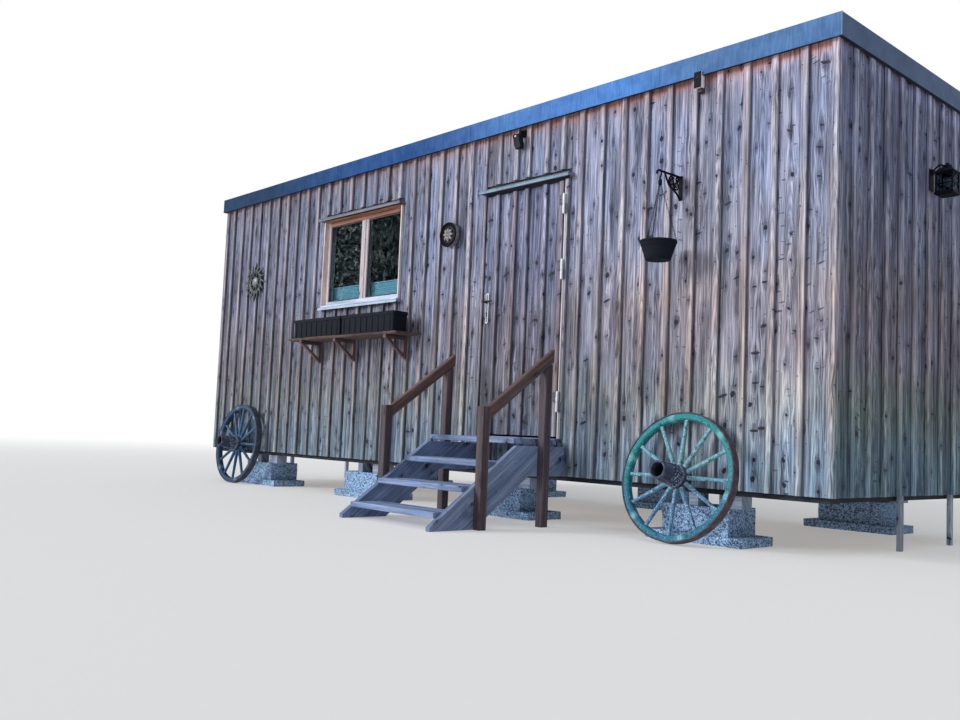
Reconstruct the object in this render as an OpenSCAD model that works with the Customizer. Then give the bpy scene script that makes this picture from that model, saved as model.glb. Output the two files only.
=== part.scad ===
// Flat-roofed timber cabin on stone piers, with an entrance stair, a flower shelf and two old
// wagon wheels that lean on its front. Millimetres.
// +X runs along the front towards the end with the lantern, +Y to the back, +Z up.
// The origin is on the ground, under the middle of the whole object's box.

/* [Body] */
// Length of the cladding, end to end
body_l = 7560; // [7540:10:7700]
// Depth of the cladding, front to back
body_d = 2550; // [2500:10:2700]
// Height of the roof edge above the lower edge of the cladding
body_h = 2900; // [2880:10:3000]
// Height of the lower edge of the cladding above the ground
ground_gap = 360; // [350:10:400]
// Thickness of the framed walls, without their cladding
wall_t = 140; // [120:5:160]
// Depth of the floor cassette between the beams and the floor boards
floor_t = 230; // [200:10:240]

/* [Cladding] */
// Thickness of the cladding boards
board_t = 22; // [20:1:24]
// How far the cover battens stand proud of the boards
batten_t = 22; // [18:1:26]
// Width of a cover batten
batten_w = 48; // [40:1:50]
// Spacing of the battens right of the door
pitch_right = 201.5; // [200:0.5:202]
// Spacing of the battens left of the door
pitch_left = 195.8; // [195:0.1:196]
// Spacing of the battens on the end walls
pitch_end = 218; // [214:0.5:219]

/* [Roof edge] */
// Height of the metal fascia
fascia_h = 150; // [120:5:180]
// Distance that the fascia stands proud of the battens
fascia_out = 35; // [30:1:45]
// Width of the metal cap on the roof's edge
cap_w = 145; // [130:5:160]

/* [Door] */
// Distance from the right end of the front to the door leaf's hinge edge
door_from_right = 2193; // [2190:1:2196]
// Width of the door leaf
door_w = 880; // [876:1:882]
// Height of the door leaf
door_h = 1957; // [1900:1:1960]
// Height of the leaf's lower edge above the cladding's lower edge
door_foot = 290; // [288:1:295]
// Thickness of the leaf without its cladding
door_core_t = 50; // [44:1:50]

/* [Window] */
// Distance from the right end of the front to the window's nearer edge
window_from_right = 4220; // [4215:1:4230]
// Clear width of the window between its reveals
window_w = 1240; // [1230:5:1250]
// Height of the clear opening's lower edge above the cladding's lower edge
window_foot = 1500; // [1500:1:1510]
// Clear height of the window
window_h = 850; // [830:5:855]
// Width of the post between the two lights
mullion_w = 110; // [90:5:130]

/* [Stair] */
// Clear width between the stringers
stair_w = 940; // [920:5:950]
// Rise of each step
stair_rise = 170; // [165:1:175]
// Going of each step
stair_going = 240; // [230:5:250]
// Depth of the top landing, from the front of the battens
landing_d = 470; // [450:5:480]
// Height of the landing above the cladding's lower edge
landing_top = 270; // [262:1:272]
// Side of the square stair posts
post_w = 65; // [60:1:70]
// Height of the newel's top above the cladding's lower edge
newel_top = 480; // [470:5:500]

/* [Wagon wheels] */
// Outer radius of the iron tyre
tyre_r = 428; // [410:1:440]
// Width of the iron tyre
tyre_w = 65; // [60:1:70]
// Radial thickness of the iron tyre
tyre_t = 9; // [6:1:12]
// Radial depth of the wooden rim
rim_t = 40; // [34:1:48]
// Number of spokes in a wheel
spoke_count = 12; // [10:2:14]
// Distance from the right end of the front to the right wheel's middle
right_wheel_at = 990; // [960:5:1010]
// Distance from the right end of the front to the left wheel's middle
left_wheel_at = 6815; // [6790:5:6830]
// Lean of the right wheel, in degrees
right_lean = 12.8; // [9:0.1:14]
// Lean of the left wheel, in degrees
left_lean = 7; // [6:0.1:14]

/* [Hidden] */
$fn = 48;
skin_t = board_t + batten_t;
lining = skin_t + wall_t;
joint = 1;
lantern_out = 110;
lantern_w = 130;
lantern_reach = lantern_out + lantern_w / 2;
stair_reach = landing_d + 3 * stair_going + 60;
total_l = fascia_out + body_l + lantern_reach;
total_d = stair_reach + body_d + fascia_out;
right_x = total_l / 2 - lantern_reach;
front_y = stair_reach - total_d / 2;

// Levels above the cladding's lower edge
beam_foot = -35;
beam_top = 20;
floor_foot = beam_top;
wall_foot = floor_foot + floor_t;
floor_top = wall_foot + 20;
wall_top = body_h - 280;
deck_top = body_h - 60;
cap_foot = body_h - 35;
clad_top = body_h - 40;

// Stone piers
pier_at = [980, 2845, 4715, 6580];
pier_l = 520;
pier_d = 320;
pier_inset = 50;
pier_top = -120;
footing_l = 750;
footing_h = 60;
footing_over = 30;
beam_inset = 60;
beam_w = 120;
beam_end = skin_t + 2;
cross_w = 100;
cross_at = [140, 980, 2845, 4715, 6580, body_l - 140];
packer_spans = [[-345, -180], [-20, 50]];
prop_t = 30;
prop_w = 45;
prop_at = [beam_end, body_l - beam_end - prop_t];
prop_row = [1010, 1820];

// Doorway: the leaf sits flush with the cladding and closes on a stop
axis_from_right = door_from_right - 15;
axis_out = 15;
leaf_far = door_from_right + door_w;
leaf_top = door_foot + door_h;
hole_near = door_from_right - 8;
hole_far = leaf_far + 12;
jamb_w = 45;
jamb_face = hole_near - 35;
jamb_near = jamb_face - 40;
jamb_far = hole_far + jamb_w;
hole_top = leaf_top + 8;
head_top = hole_top + jamb_w;
leaf_back = skin_t + door_core_t;
stop_y = leaf_back + 6;
stop_w = 20;
threshold_t = 25;
drip_top = head_top - 2;
door_battens = [2225, 2400, 2600, 2737, 2934];
hinge_at = [550, 1555, 2060];
hinge_l = 150;
hinge_plate = [2203, 2232];
knuckle_r = 10;
pin_r = 6;
pin_gap = 0.05;
handle_at = 3022;
handle_h = 1366;

// Window: the frame stands behind the cladding and shows as a narrow border
window_far = window_from_right + window_w;
window_top = window_foot + window_h;
reveal_t = 15;
frame_cover = 40;
frame_show = 40;
frame_d = 70;
glass_t = 24;
window_mid = window_from_right + window_w / 2;
sill_top = window_foot - reveal_t;
window_drip_top = window_top + 48;

// Flower shelf
shelf_near = 3880;
shelf_far = 5620;
shelf_top = 1150;
shelf_t = 22;
shelf_out = 270;
planter_l = 800;
planter_d = 170;
planter_h = 180;
planter_t = 6;
planter_at = [3925, 4740];
bracket_at = [4058.6, 4841.4, 5428.8];

// Bracket and hanging pot
pot_at = 1136;
pot_out = 210;
pot_foot = 1484;
pot_h = 130;
pot_r_foot = 85;
pot_r = 125;
arm_h = 2081;
hook_h = 75;

lantern_at = batten_w / 2 + 6 * pitch_end;

// Wheels
rim_r = tyre_r - tyre_t;
rim_in = rim_r - rim_t;
rim_w = 58;
seat_r = 80;
bore_r = 47;
spoke_y = tyre_w / 2;

// Batten rows: the distance of each batten's middle from the right end
front_battens = [
    for (k = [0:10]) batten_w / 2 + k * pitch_right,
    for (b = door_battens) b,
    for (k = [0:21]) 3275 + k * pitch_left,
    body_l - batten_w / 2
];
back_count = 37;
back_pitch = (body_l - batten_w) / back_count;
back_battens = [for (k = [0:back_count]) batten_w / 2 + k * back_pitch];
end_battens = [for (k = [0:11]) batten_w / 2 + k * pitch_end, body_d - batten_w / 2];

// A place on the model from its distance to the right end, behind the front and above the cladding's edge
function at_x(d) = right_x - d;
function at_y(d) = front_y + d;
function at_z(h) = ground_gap + h;

// A block between two distances from the right end, two depths and two heights
module block(d0, d1, y0, y1, h0, h1) {
    translate([at_x(d1), at_y(y0), at_z(h0)])
        cube([d1 - d0, y1 - y0, h1 - h0]);
}

// A bar along X whose section is drawn as points of depth and height
module bar_along(d0, d1, points) {
    translate([at_x(d1), at_y(0), at_z(0)])
        rotate([90, 0, 90])
            linear_extrude(d1 - d0)
                polygon(points);
}

// A rod between two points, round or with a few flat sides
module rod(a, b, r, sides = 24) {
    v = b - a;
    run = norm(v);
    translate(a)
        rotate([0, acos(v[2] / run), atan2(v[1], v[0])])
            cylinder(r = r, h = run, $fn = sides);
}

module stone_piers() {
    color("darkgray")
    for (at = pier_at, y = [pier_inset, body_d - pier_inset - pier_d]) {
        block(at - pier_l / 2, at + pier_l / 2, y, y + pier_d, footing_h - ground_gap, pier_top);
        block(at - footing_l / 2, at + footing_l / 2, y - footing_over, y + pier_d + footing_over,
              -ground_gap, footing_h - ground_gap);
    }
}

module timber_packers() {
    color("tan") {
        for (at = pier_at, span = packer_spans, y = [beam_inset, body_d - beam_inset - beam_w])
            block(at + span[0], at + span[1], y, y + beam_w, pier_top, beam_foot);
        for (at = prop_at, y = prop_row)
            block(at, at + prop_t, y, y + prop_w, -ground_gap, floor_foot);
    }
}

module chassis_beams() {
    color("dimgray")
    for (y = [beam_inset, body_d - beam_inset - beam_w])
        block(beam_end, body_l - beam_end, y, y + beam_w, beam_foot, beam_top);
}

module cross_beams() {
    color("dimgray")
    for (at = cross_at)
        block(at - cross_w / 2, at + cross_w / 2, beam_inset + beam_w, body_d - beam_inset - beam_w,
              beam_foot, beam_top);
}

module floor_cassette() {
    color("burlywood")
    block(skin_t, body_l - skin_t, skin_t, body_d - skin_t, floor_foot, wall_foot);
}

module floor_boards() {
    color("peru")
    block(lining, body_l - lining, lining, body_d - lining, wall_foot, floor_top);
}

module front_wall_piece(d0, d1, h0, h1) {
    block(d0, d1, skin_t, lining, h0, h1);
}

module front_wall_left() {
    color("wheat")
    front_wall_piece(window_far + frame_cover, body_l - skin_t, wall_foot, wall_top);
}

module front_wall_at_window() {
    d0 = window_from_right - frame_cover;
    d1 = window_far + frame_cover;
    color("wheat") {
        front_wall_piece(d0, d1, wall_foot, window_foot - frame_cover);
        front_wall_piece(d0, d1, window_top + frame_cover, wall_top);
    }
}

module front_wall_middle() {
    color("wheat")
    front_wall_piece(jamb_far, window_from_right - frame_cover, wall_foot, wall_top);
}

module front_wall_over_door() {
    color("wheat")
    front_wall_piece(jamb_near, jamb_far, head_top, wall_top);
}

module front_wall_right() {
    color("wheat")
    front_wall_piece(skin_t, jamb_near, wall_foot, wall_top);
}

module back_wall() {
    color("wheat")
    block(skin_t, body_l - skin_t, body_d - lining, body_d - skin_t, wall_foot, wall_top);
}

module end_walls() {
    color("wheat") {
        block(skin_t, lining, lining, body_d - lining, wall_foot, wall_top);
        block(body_l - lining, body_l - skin_t, lining, body_d - lining, wall_foot, wall_top);
    }
}

// A panel of the front: its boards, and the battens whose whole width lies on it
module front_panel(d0, d1, h0, h1) {
    lap0 = d0 <= batten_t ? 0 : d0;
    lap1 = d1 >= body_l - batten_t ? body_l : d1;
    block(d0 + joint, d1 - joint, batten_t, skin_t, h0, h1);
    for (b = front_battens)
        if (b - batten_w / 2 >= lap0 && b + batten_w / 2 <= lap1)
            block(b - batten_w / 2, b + batten_w / 2, 0, batten_t, h0, h1);
}

module front_cladding() {
    near = window_from_right - reveal_t;
    far = window_far + reveal_t;
    color("slategray") {
        front_panel(batten_t - joint, jamb_face, 0, clad_top);
        front_panel(jamb_face, hole_far, 0, wall_foot);
        front_panel(jamb_face, hole_far, drip_top, clad_top);
        front_panel(hole_far, near, 0, clad_top);
        front_panel(near, far, 0, sill_top - 10);
        front_panel(near, far, window_drip_top, clad_top);
        front_panel(far, body_l - batten_t + joint, 0, clad_top);
    }
}

module back_cladding() {
    color("slategray") {
        block(batten_t, body_l - batten_t, body_d - skin_t, body_d - batten_t, 0, clad_top);
        for (b = back_battens)
            block(b - batten_w / 2, b + batten_w / 2, body_d - batten_t, body_d, 0, clad_top);
    }
}

// The cladding of one end wall, with its battens on the outer side
module end_panel(board_d, batten_d) {
    block(board_d, board_d + board_t, skin_t, body_d - skin_t, 0, clad_top);
    for (b = end_battens)
        block(batten_d, batten_d + batten_t, max(b - batten_w / 2, batten_t),
              min(b + batten_w / 2, body_d - batten_t), 0, clad_top);
}

module end_cladding() {
    color("slategray") {
        end_panel(batten_t, 0);
        end_panel(body_l - skin_t, body_l - batten_t);
    }
}

module roof_deck() {
    color("burlywood")
    block(skin_t, body_l - skin_t, skin_t, body_d - skin_t, wall_top, deck_top);
}

module roof_membrane() {
    color("darkslategray")
    block(skin_t, body_l - skin_t, skin_t, body_d - skin_t, deck_top, cap_foot);
}

module long_fascias() {
    cap_in = cap_w - fascia_out;
    section = [
        [-fascia_out, body_h - fascia_h], [-5, body_h - fascia_h], [-5, cap_foot],
        [cap_in, cap_foot], [cap_in, body_h], [-fascia_out, body_h]
    ];
    color("steelblue") {
        bar_along(-fascia_out, body_l + fascia_out, section);
        bar_along(-fascia_out, body_l + fascia_out, [for (p = section) [body_d - p[0], p[1]]]);
    }
}

module end_fascia(d0, d1, cap0, cap1) {
    cap_in = cap_w - fascia_out;
    block(d0, d1, -5, body_d + 5, body_h - fascia_h, cap_foot);
    block(cap0, cap1, cap_in, body_d - cap_in, cap_foot, body_h);
}

module end_fascias() {
    cap_in = cap_w - fascia_out;
    color("steelblue") {
        end_fascia(-fascia_out, -5, -fascia_out, cap_in);
        end_fascia(body_l + 5, body_l + fascia_out, body_l - cap_in, body_l + fascia_out);
    }
}

// The frame with its two lights, and the thin reveal that lines the hole in the cladding
module window_frame() {
    near = window_from_right;
    far = window_far;
    half = mullion_w / 2;
    color("sienna")
    difference() {
        union() {
            block(near - frame_cover, far + frame_cover, skin_t, skin_t + frame_d,
                  window_foot - frame_cover, window_top + frame_cover);
            block(near - reveal_t + joint, far + reveal_t - joint, 0, skin_t,
                  window_foot - reveal_t, window_top + reveal_t);
        }
        block(near, far, -1, skin_t, window_foot, window_top);
        block(near + frame_show, window_mid - half, 0, lining,
              window_foot + frame_show, window_top - frame_show);
        block(window_mid + half, far - frame_show, 0, lining,
              window_foot + frame_show, window_top - frame_show);
    }
}

module window_pane(d0, d1) {
    block(d0, d1, skin_t + 20, skin_t + 20 + glass_t,
          window_foot + frame_show, window_top - frame_show);
}

module window_glass() {
    color("lightblue", 0.4) {
        window_pane(window_from_right + frame_show, window_mid - mullion_w / 2);
        window_pane(window_mid + mullion_w / 2, window_far - frame_show);
    }
}

module window_blind() {
    back = skin_t + frame_d;
    color("teal") {
        block(window_from_right + frame_show - 10, window_mid - mullion_w / 2 + 10,
              back, back + 20, window_foot + 30, window_foot + 187);
        block(window_mid + mullion_w / 2 - 10, window_far - frame_show + 10,
              back, back + 20, window_foot + 30, window_foot + 187);
    }
}

// A bent sheet: a lip that hangs in front, and a leaf that rises to the boards
module flashing(d0, d1, hole0, hole1, out, top, lip) {
    bar_along(d0, d1, [
        [-out, top - lip], [5 - out, top - lip], [5 - out, top - 13],
        [batten_t, top - 6], [batten_t, top], [-out, top - 7]
    ]);
    block(hole0 + joint, hole1 - joint, batten_t, skin_t, top - 6, top);
}

module metal_flashings() {
    near = window_from_right - reveal_t;
    far = window_far + reveal_t;
    color("lightsteelblue") {
        flashing(hole_near - 65, hole_far + 30, jamb_face, hole_far, 40, drip_top, 33);
        flashing(near, far + 70, near, far, 30, window_drip_top, 36);
        flashing(near - 15, far + 5, near, far, 30, sill_top, 34);
    }
}

// A frame of two jambs and a head, with a stop behind the leaf and a strip that carries the hinges
module door_frame() {
    foot = wall_foot + threshold_t;
    color("saddlebrown")
    difference() {
        union() {
            block(jamb_near, jamb_far, skin_t, lining, foot, head_top);
            block(jamb_face + joint, hole_near, 0, skin_t, foot, hole_top);
        }
        block(hole_near, hole_far, 0, stop_y, 0, hole_top);
        block(hole_near + stop_w, hole_far - stop_w, 0, lining + 1, 0, hole_top - stop_w);
    }
}

module door_threshold() {
    top = wall_foot + threshold_t;
    color("peru") {
        block(jamb_near, jamb_far, skin_t, lining, wall_foot, top);
        block(hole_near + 2, hole_far - 2, -20, skin_t, wall_foot, top);
    }
}

module door_leaf() {
    color("sienna")
    block(door_from_right, leaf_far, skin_t, leaf_back, door_foot, leaf_top);
}

module door_cladding() {
    color("slategray") {
        block(door_from_right, leaf_far, batten_t, skin_t, door_foot, leaf_top);
        for (b = door_battens)
            block(b - batten_w / 2, b + batten_w / 2, 0, batten_t, door_foot, leaf_top);
    }
}

// One side of the handle: a long plate and a lever that points to the hinges
module handle_side(plate0, plate1, lever_y) {
    block(handle_at - 17, handle_at + 17, plate0, plate1, handle_h - 175, handle_h + 75);
    hub = [at_x(handle_at), at_y(lever_y), at_z(handle_h)];
    rod([hub[0], at_y((plate0 + plate1) / 2), hub[2]], hub, 9);
    rod(hub, hub + [115, 0, 0], 8);
}

module door_handle() {
    color("silver") {
        handle_side(batten_t - 8, batten_t, -42);
        handle_side(leaf_back, leaf_back + 8, leaf_back + 55);
    }
}

module hinge_tube(h0, h1) {
    translate([at_x(axis_from_right), at_y(-axis_out), at_z(h0)])
        difference() {
            cylinder(r = knuckle_r, h = h1 - h0);
            translate([0, 0, -1])
                cylinder(r = pin_r + pin_gap, h = h1 - h0 + 2);
        }
}

module door_hinge_leaves() {
    color("gainsboro")
    for (h = hinge_at) {
        hinge_tube(h + 1, h + hinge_l / 2);
        block(axis_from_right + pin_r + 0.5, hinge_plate[0], -12, -6, h + 1, h + hinge_l / 2);
        block(hinge_plate[0], hinge_plate[1], -12, 0, h + 1, h + hinge_l / 2);
    }
}

module door_hinge_pins() {
    color("gainsboro")
    for (h = hinge_at)
        translate([at_x(axis_from_right), at_y(-axis_out), at_z(h)]) {
            translate([0, 0, -hinge_l / 2])
                cylinder(r = knuckle_r, h = hinge_l / 2);
            cylinder(r = pin_r, h = hinge_l / 2 + 4);
            translate([4, axis_out - 8, -hinge_l / 2])
                cube([axis_from_right - jamb_face - 8, 8, hinge_l / 2]);
        }
}

stair_mid = door_from_right + door_w / 2;
stringer_w = 45;
stair_slope = stair_rise / stair_going;
tread_t = 40;
tread_back = 20;
rail_slope = stair_slope;
rail_w = 45;
rail_h = 95;
rail_end = -175;
newel_y = -840;
upper_post_y = -235;
function rail_top(y) = newel_top + (y - newel_y - post_w / 2) * rail_slope;

// The stair's two sides: a distance from its middle, on both sides of it
module both_sides(inner, width) {
    for (s = [-1, 1])
        translate([s * (inner + width / 2), 0, 0])
            children();
}

module stair_stringers() {
    bend = -landing_d;
    edge = landing_top - 55;
    deep = 300;
    foot = -stair_reach;
    foot_top = edge + (foot - bend) * stair_slope;
    under = bend - (ground_gap + edge - deep) / stair_slope;
    level = bend + (deep - edge) / stair_slope;
    color("gray")
    both_sides(stair_w / 2, stringer_w)
        bar_along(stair_mid - stringer_w / 2, stair_mid + stringer_w / 2, [
            [batten_t, edge], [bend, edge], [foot, max(foot_top, 30 - ground_gap)],
            [foot, -ground_gap], [under, -ground_gap], [level, 0], [batten_t, 0]
        ]);
}

module stair_treads() {
    d0 = stair_mid - stair_w / 2;
    d1 = stair_mid + stair_w / 2;
    color("gray") {
        block(d0, d1, -landing_d, -tread_back, landing_top - tread_t, landing_top);
        for (k = [1:3]) {
            nose = -landing_d - k * stair_going;
            top = landing_top - k * stair_rise;
            block(d0, d1, nose, nose + stair_going + 20, top - tread_t, top);
        }
    }
}

module stair_posts() {
    half = post_w / 2;
    color("saddlebrown")
    both_sides(stair_w / 2 + stringer_w, post_w) {
        bar_along(stair_mid - half, stair_mid + half, [
            [newel_y - half, -ground_gap], [newel_y + half, -ground_gap],
            [newel_y + half, newel_top], [newel_y - half, newel_top]
        ]);
        bar_along(stair_mid - half, stair_mid + half, [
            [upper_post_y - half, -ground_gap], [upper_post_y + half, -ground_gap],
            [upper_post_y + half, rail_top(upper_post_y + half) - rail_h],
            [upper_post_y - half, rail_top(upper_post_y - half) - rail_h]
        ]);
    }
}

module stair_handrails() {
    start = newel_y + post_w / 2;
    color("saddlebrown")
    both_sides(stair_w / 2 + stringer_w, post_w)
        bar_along(stair_mid - rail_w / 2, stair_mid + rail_w / 2, [
            [start, rail_top(start) - rail_h], [rail_end, rail_top(rail_end) - rail_h],
            [rail_end, rail_top(rail_end)], [start, rail_top(start)]
        ]);
}

// A board on brackets that are fixed to battens
module flower_shelf() {
    foot = shelf_top - shelf_t;
    color("sienna") {
        block(shelf_near, shelf_far, -shelf_out, 0, foot, shelf_top);
        for (at = bracket_at)
            bar_along(at - 20, at + 20, [
                [0, foot], [0, foot - 200], [-30, foot - 200], [-shelf_out + 30, foot - 30],
                [-shelf_out + 30, foot]
            ]);
    }
}

module planter_boxes() {
    color("dimgray")
    for (at = planter_at)
        difference() {
            block(at, at + planter_l, 15 - shelf_out, 15 - shelf_out + planter_d,
                  shelf_top, shelf_top + planter_h);
            block(at + planter_t, at + planter_l - planter_t, 15 - shelf_out + planter_t,
                  15 - shelf_out + planter_d - planter_t, shelf_top + planter_t, shelf_top + planter_h + 1);
        }
}

module basket_bracket() {
    plate = 6;
    color("black") {
        block(pot_at - 15, pot_at + 15, batten_t - plate, batten_t, arm_h - 155, arm_h + 20);
        bar_along(pot_at - 8, pot_at + 8, [
            [batten_t - plate, arm_h], [-pot_out - 20, arm_h], [-pot_out - 24, arm_h - 22],
            [-pot_out - 38, arm_h - 22], [-pot_out - 34, arm_h + 16], [batten_t - plate, arm_h + 16]
        ]);
        bar_along(pot_at - 7, pot_at + 7, [
            [batten_t - plate, arm_h - 145], [-16, arm_h - 112], [-70, arm_h - 84],
            [-100, arm_h - 70], [-160, arm_h], [batten_t - plate, arm_h]
        ]);
    }
}

module hanging_pot() {
    mid = [at_x(pot_at), at_y(-pot_out), at_z(pot_foot)];
    wall = 5;
    lip = 14;
    drop = arm_h - pot_foot;
    rim = pot_r - lip / 2;
    color("black")
    translate(mid) {
        difference() {
            union() {
                cylinder(r1 = pot_r_foot, r2 = pot_r - 6, h = pot_h - lip);
                translate([0, 0, pot_h - lip])
                    cylinder(r = pot_r, h = lip);
            }
            translate([0, 0, wall])
                cylinder(r1 = pot_r_foot - wall, r2 = pot_r - lip, h = pot_h);
        }
        for (a = [30, 150, 270])
            rod([rim * cos(a), rim * sin(a), pot_h - lip / 2],
                [5 * cos(a), 5 * sin(a), drop - hook_h - 4], 2.5, 8);
        translate([0, 0, drop - hook_h - 14])
            cylinder(r = 13, h = 14);
        translate([0, 0, drop - hook_h - 1])
            cylinder(r = 8, h = hook_h + 1);
    }
}

// A four-sided lantern on a short arm
module wall_lantern() {
    half = lantern_w / 2;
    translate([at_x(0), at_y(lantern_at), at_z(0)]) {
        color("black") {
            translate([0, -35, 2085])
                cube([6, 70, 150]);
            translate([0, -6, 2216])
                cube([lantern_out, 12, 12]);
            translate([lantern_out - half, -half, 2043])
                cube([lantern_w, lantern_w, 12]);
            translate([lantern_out, 0, 2190])
                rotate([0, 0, 45])
                    cylinder(r1 = half * sqrt(2), r2 = 24, h = 50, $fn = 4);
            translate([lantern_out, 0, 2240])
                cylinder(r = 8, h = 24);
        }
        color("khaki", 0.6)
        translate([lantern_out - half + 12, 12 - half, 2055])
            cube([lantern_w - 24, lantern_w - 24, 135]);
    }
}

module spot_light() {
    color("black") {
        block(2640, 2697, -40, batten_t, 2690, 2730);
        translate([at_x(2668), at_y(-40), at_z(2700)])
            rotate([18, 0, 0])
                translate([-38, -50, -125])
                    cube([76, 55, 115]);
    }
}

// A box under the fascia, with a front that covers a little of it
module sensor_box() {
    under = body_h - fascia_h - joint;
    color("ivory") {
        block(945, 1003, -45, -fascia_out - 1, 2640, 2775);
        block(945, 1003, -fascia_out - 1, batten_t, 2640, under);
    }
}

// A flat disc with wavy rays
module sun_plaque() {
    rays = 16;
    tip = 225;
    waist = 152;
    boss = 112;
    color("slategray")
    translate([at_x(6800), at_y(0), at_z(1860)])
        rotate([90, 0, 0]) {
            linear_extrude(12)
                polygon([for (k = [0:rays * 4 - 1])
                    let (r = [tip, tip - 28, waist, tip - 28][k % 4], a = (k + (k % 4 == 0 ? 0.6 : 0)) * 90 / rays)
                        [r * cos(a), r * sin(a)]]);
            cylinder(r = boss, h = 22);
        }
}

module round_plaque() {
    color("black")
    translate([at_x(3495), at_y(0), at_z(1980)])
        rotate([90, 0, 0])
            difference() {
                cylinder(r = 108, h = 45);
                translate([0, 0, 30])
                    cylinder(r = 90, h = 20);
            }
}

// Puts a wheel on the ground with its top on the battens
module leaning(at, lean) {
    out = tyre_r * sin(lean) + tyre_w * cos(lean);
    rise = tyre_r * cos(lean) + tyre_w * sin(lean);
    translate([at_x(at), at_y(-out), rise])
        rotate([-lean, 0, 0])
            children();
}

module both_wheels() {
    leaning(right_wheel_at, right_lean)
        children();
    leaning(left_wheel_at, left_lean)
        children();
}

// A ring round the wheel's axle, from one depth behind its front to another
module wheel_ring(outer, inner, y0, y1) {
    translate([0, y0, 0])
        rotate([-90, 0, 0])
            difference() {
                cylinder(r = outer, h = y1 - y0, $fn = 96);
                translate([0, 0, -1])
                    cylinder(r = inner, h = y1 - y0 + 2, $fn = 96);
            }
}

module wheel_rims() {
    edge = (tyre_w - rim_w) / 2;
    color("teal")
    both_wheels()
        wheel_ring(rim_r, rim_in, edge, edge + rim_w);
}

module wheel_tyres() {
    color("saddlebrown")
    both_wheels()
        wheel_ring(tyre_r, rim_r, 0, tyre_w);
}

module wheel_spokes() {
    color("cadetblue")
    both_wheels()
        intersection() {
            wheel_ring(rim_in, seat_r, 0, tyre_w);
            for (k = [0:spoke_count - 1])
                rotate([0, k * 360 / spoke_count, 0])
                    translate([0, spoke_y, seat_r - 10])
                        cylinder(r1 = 18, r2 = 12, h = rim_in - seat_r + 20, $fn = 24);
        }
}

module wheel_hubs() {
    color("saddlebrown")
    both_wheels()
        rotate([-90, 0, 0])
            rotate_extrude()
                polygon([
                    [bore_r, -200], [57, -200], [60, -196], [60, -172], [74, -30], [seat_r, -20],
                    [seat_r, 75], [62, 90], [bore_r, 90]
                ]);
}

stone_piers();
timber_packers();
chassis_beams();
cross_beams();
floor_cassette();
floor_boards();
front_wall_left();
front_wall_at_window();
front_wall_middle();
front_wall_over_door();
front_wall_right();
back_wall();
end_walls();
front_cladding();
back_cladding();
end_cladding();
roof_deck();
roof_membrane();
long_fascias();
end_fascias();
window_frame();
window_glass();
window_blind();
metal_flashings();
door_frame();
door_threshold();
door_leaf();
door_cladding();
door_handle();
door_hinge_leaves();
door_hinge_pins();
stair_stringers();
stair_treads();
stair_posts();
stair_handrails();
flower_shelf();
planter_boxes();
basket_bracket();
hanging_pot();
wall_lantern();
spot_light();
sensor_box();
sun_plaque();
round_plaque();
wheel_rims();
wheel_tyres();
wheel_spokes();
wheel_hubs();
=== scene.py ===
"""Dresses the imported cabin: every board and batten, the roof edge, the door, the window, the stair,
the fittings and the two wagon wheels, with their materials, a pale floor, soft light and the camera."""
import random
from math import copysign, cos, dist, pi, radians, sin

import bpy
from mathutils import Matrix, Vector, noise


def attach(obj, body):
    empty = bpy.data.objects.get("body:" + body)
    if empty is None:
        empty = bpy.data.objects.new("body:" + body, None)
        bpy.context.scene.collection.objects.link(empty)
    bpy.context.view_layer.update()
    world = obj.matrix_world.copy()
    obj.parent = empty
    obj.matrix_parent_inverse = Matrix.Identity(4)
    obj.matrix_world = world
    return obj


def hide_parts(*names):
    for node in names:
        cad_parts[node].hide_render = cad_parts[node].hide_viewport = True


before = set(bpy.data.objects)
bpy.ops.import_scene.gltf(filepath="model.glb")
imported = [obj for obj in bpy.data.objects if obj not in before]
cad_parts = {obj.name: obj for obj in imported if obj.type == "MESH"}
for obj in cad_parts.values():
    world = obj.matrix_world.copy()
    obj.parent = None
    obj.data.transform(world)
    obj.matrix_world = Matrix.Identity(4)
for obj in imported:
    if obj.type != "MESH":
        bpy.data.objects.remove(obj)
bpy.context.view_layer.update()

# The part's own places, in metres: its right end, its front and the cladding's lower edge, then the
# size of the body, how deep boards lie behind battens, the whole cladding's depth and top, the
# thickness of a folded sheet and half a batten's width
RIGHT = 3.710
FRONT = -0.6675
FOOT = 0.360
BODY_L = 7.560
BODY_D = 2.550
BODY_H = 2.900
BOARD = 0.022
SKIN = 0.044
CLAD_TOP = 2.860
SHEET_T = 0.0022
HALF_BATTEN = 0.024


def at_x(d):
    return RIGHT - d


def at_y(d):
    return FRONT + d


def at_z(h):
    return FOOT + h


def spot(d, y, h):
    """A point, from its distance to the right end, its depth behind the front and its height."""
    return at_x(d), at_y(y), at_z(h)


# Camera, from the lines of the photograph
FOCAL_PX = 959.39
PHOTO_W = 960.0
SENSOR_W = 36.0
YAW = radians(-47.383)
PITCH = radians(4.318)
ROLL = radians(-2.411)
EYE = Vector((2.7098 + RIGHT, -5.3108 + FRONT, 0.2984 + FOOT))


def make_camera():
    """Stands at the eye and looks along the fitted yaw, pitch and roll."""
    forward = Vector((sin(YAW) * cos(PITCH), cos(YAW) * cos(PITCH), sin(PITCH)))
    right = Vector((cos(YAW), -sin(YAW), 0.0))
    down = forward.cross(right)
    side = cos(ROLL) * right + sin(ROLL) * down
    low = -sin(ROLL) * right + cos(ROLL) * down
    data = bpy.data.cameras.new("view")
    data.sensor_width = SENSOR_W
    data.lens = FOCAL_PX * SENSOR_W / PHOTO_W
    data.clip_end = 400.0
    camera = bpy.data.objects.new("view", data)
    turn = Matrix((side, -low, -forward)).transposed().to_4x4()
    camera.matrix_world = Matrix.Translation(EYE) @ turn
    bpy.context.scene.collection.objects.link(camera)
    bpy.context.scene.camera = camera


make_camera()


# Materials

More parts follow.
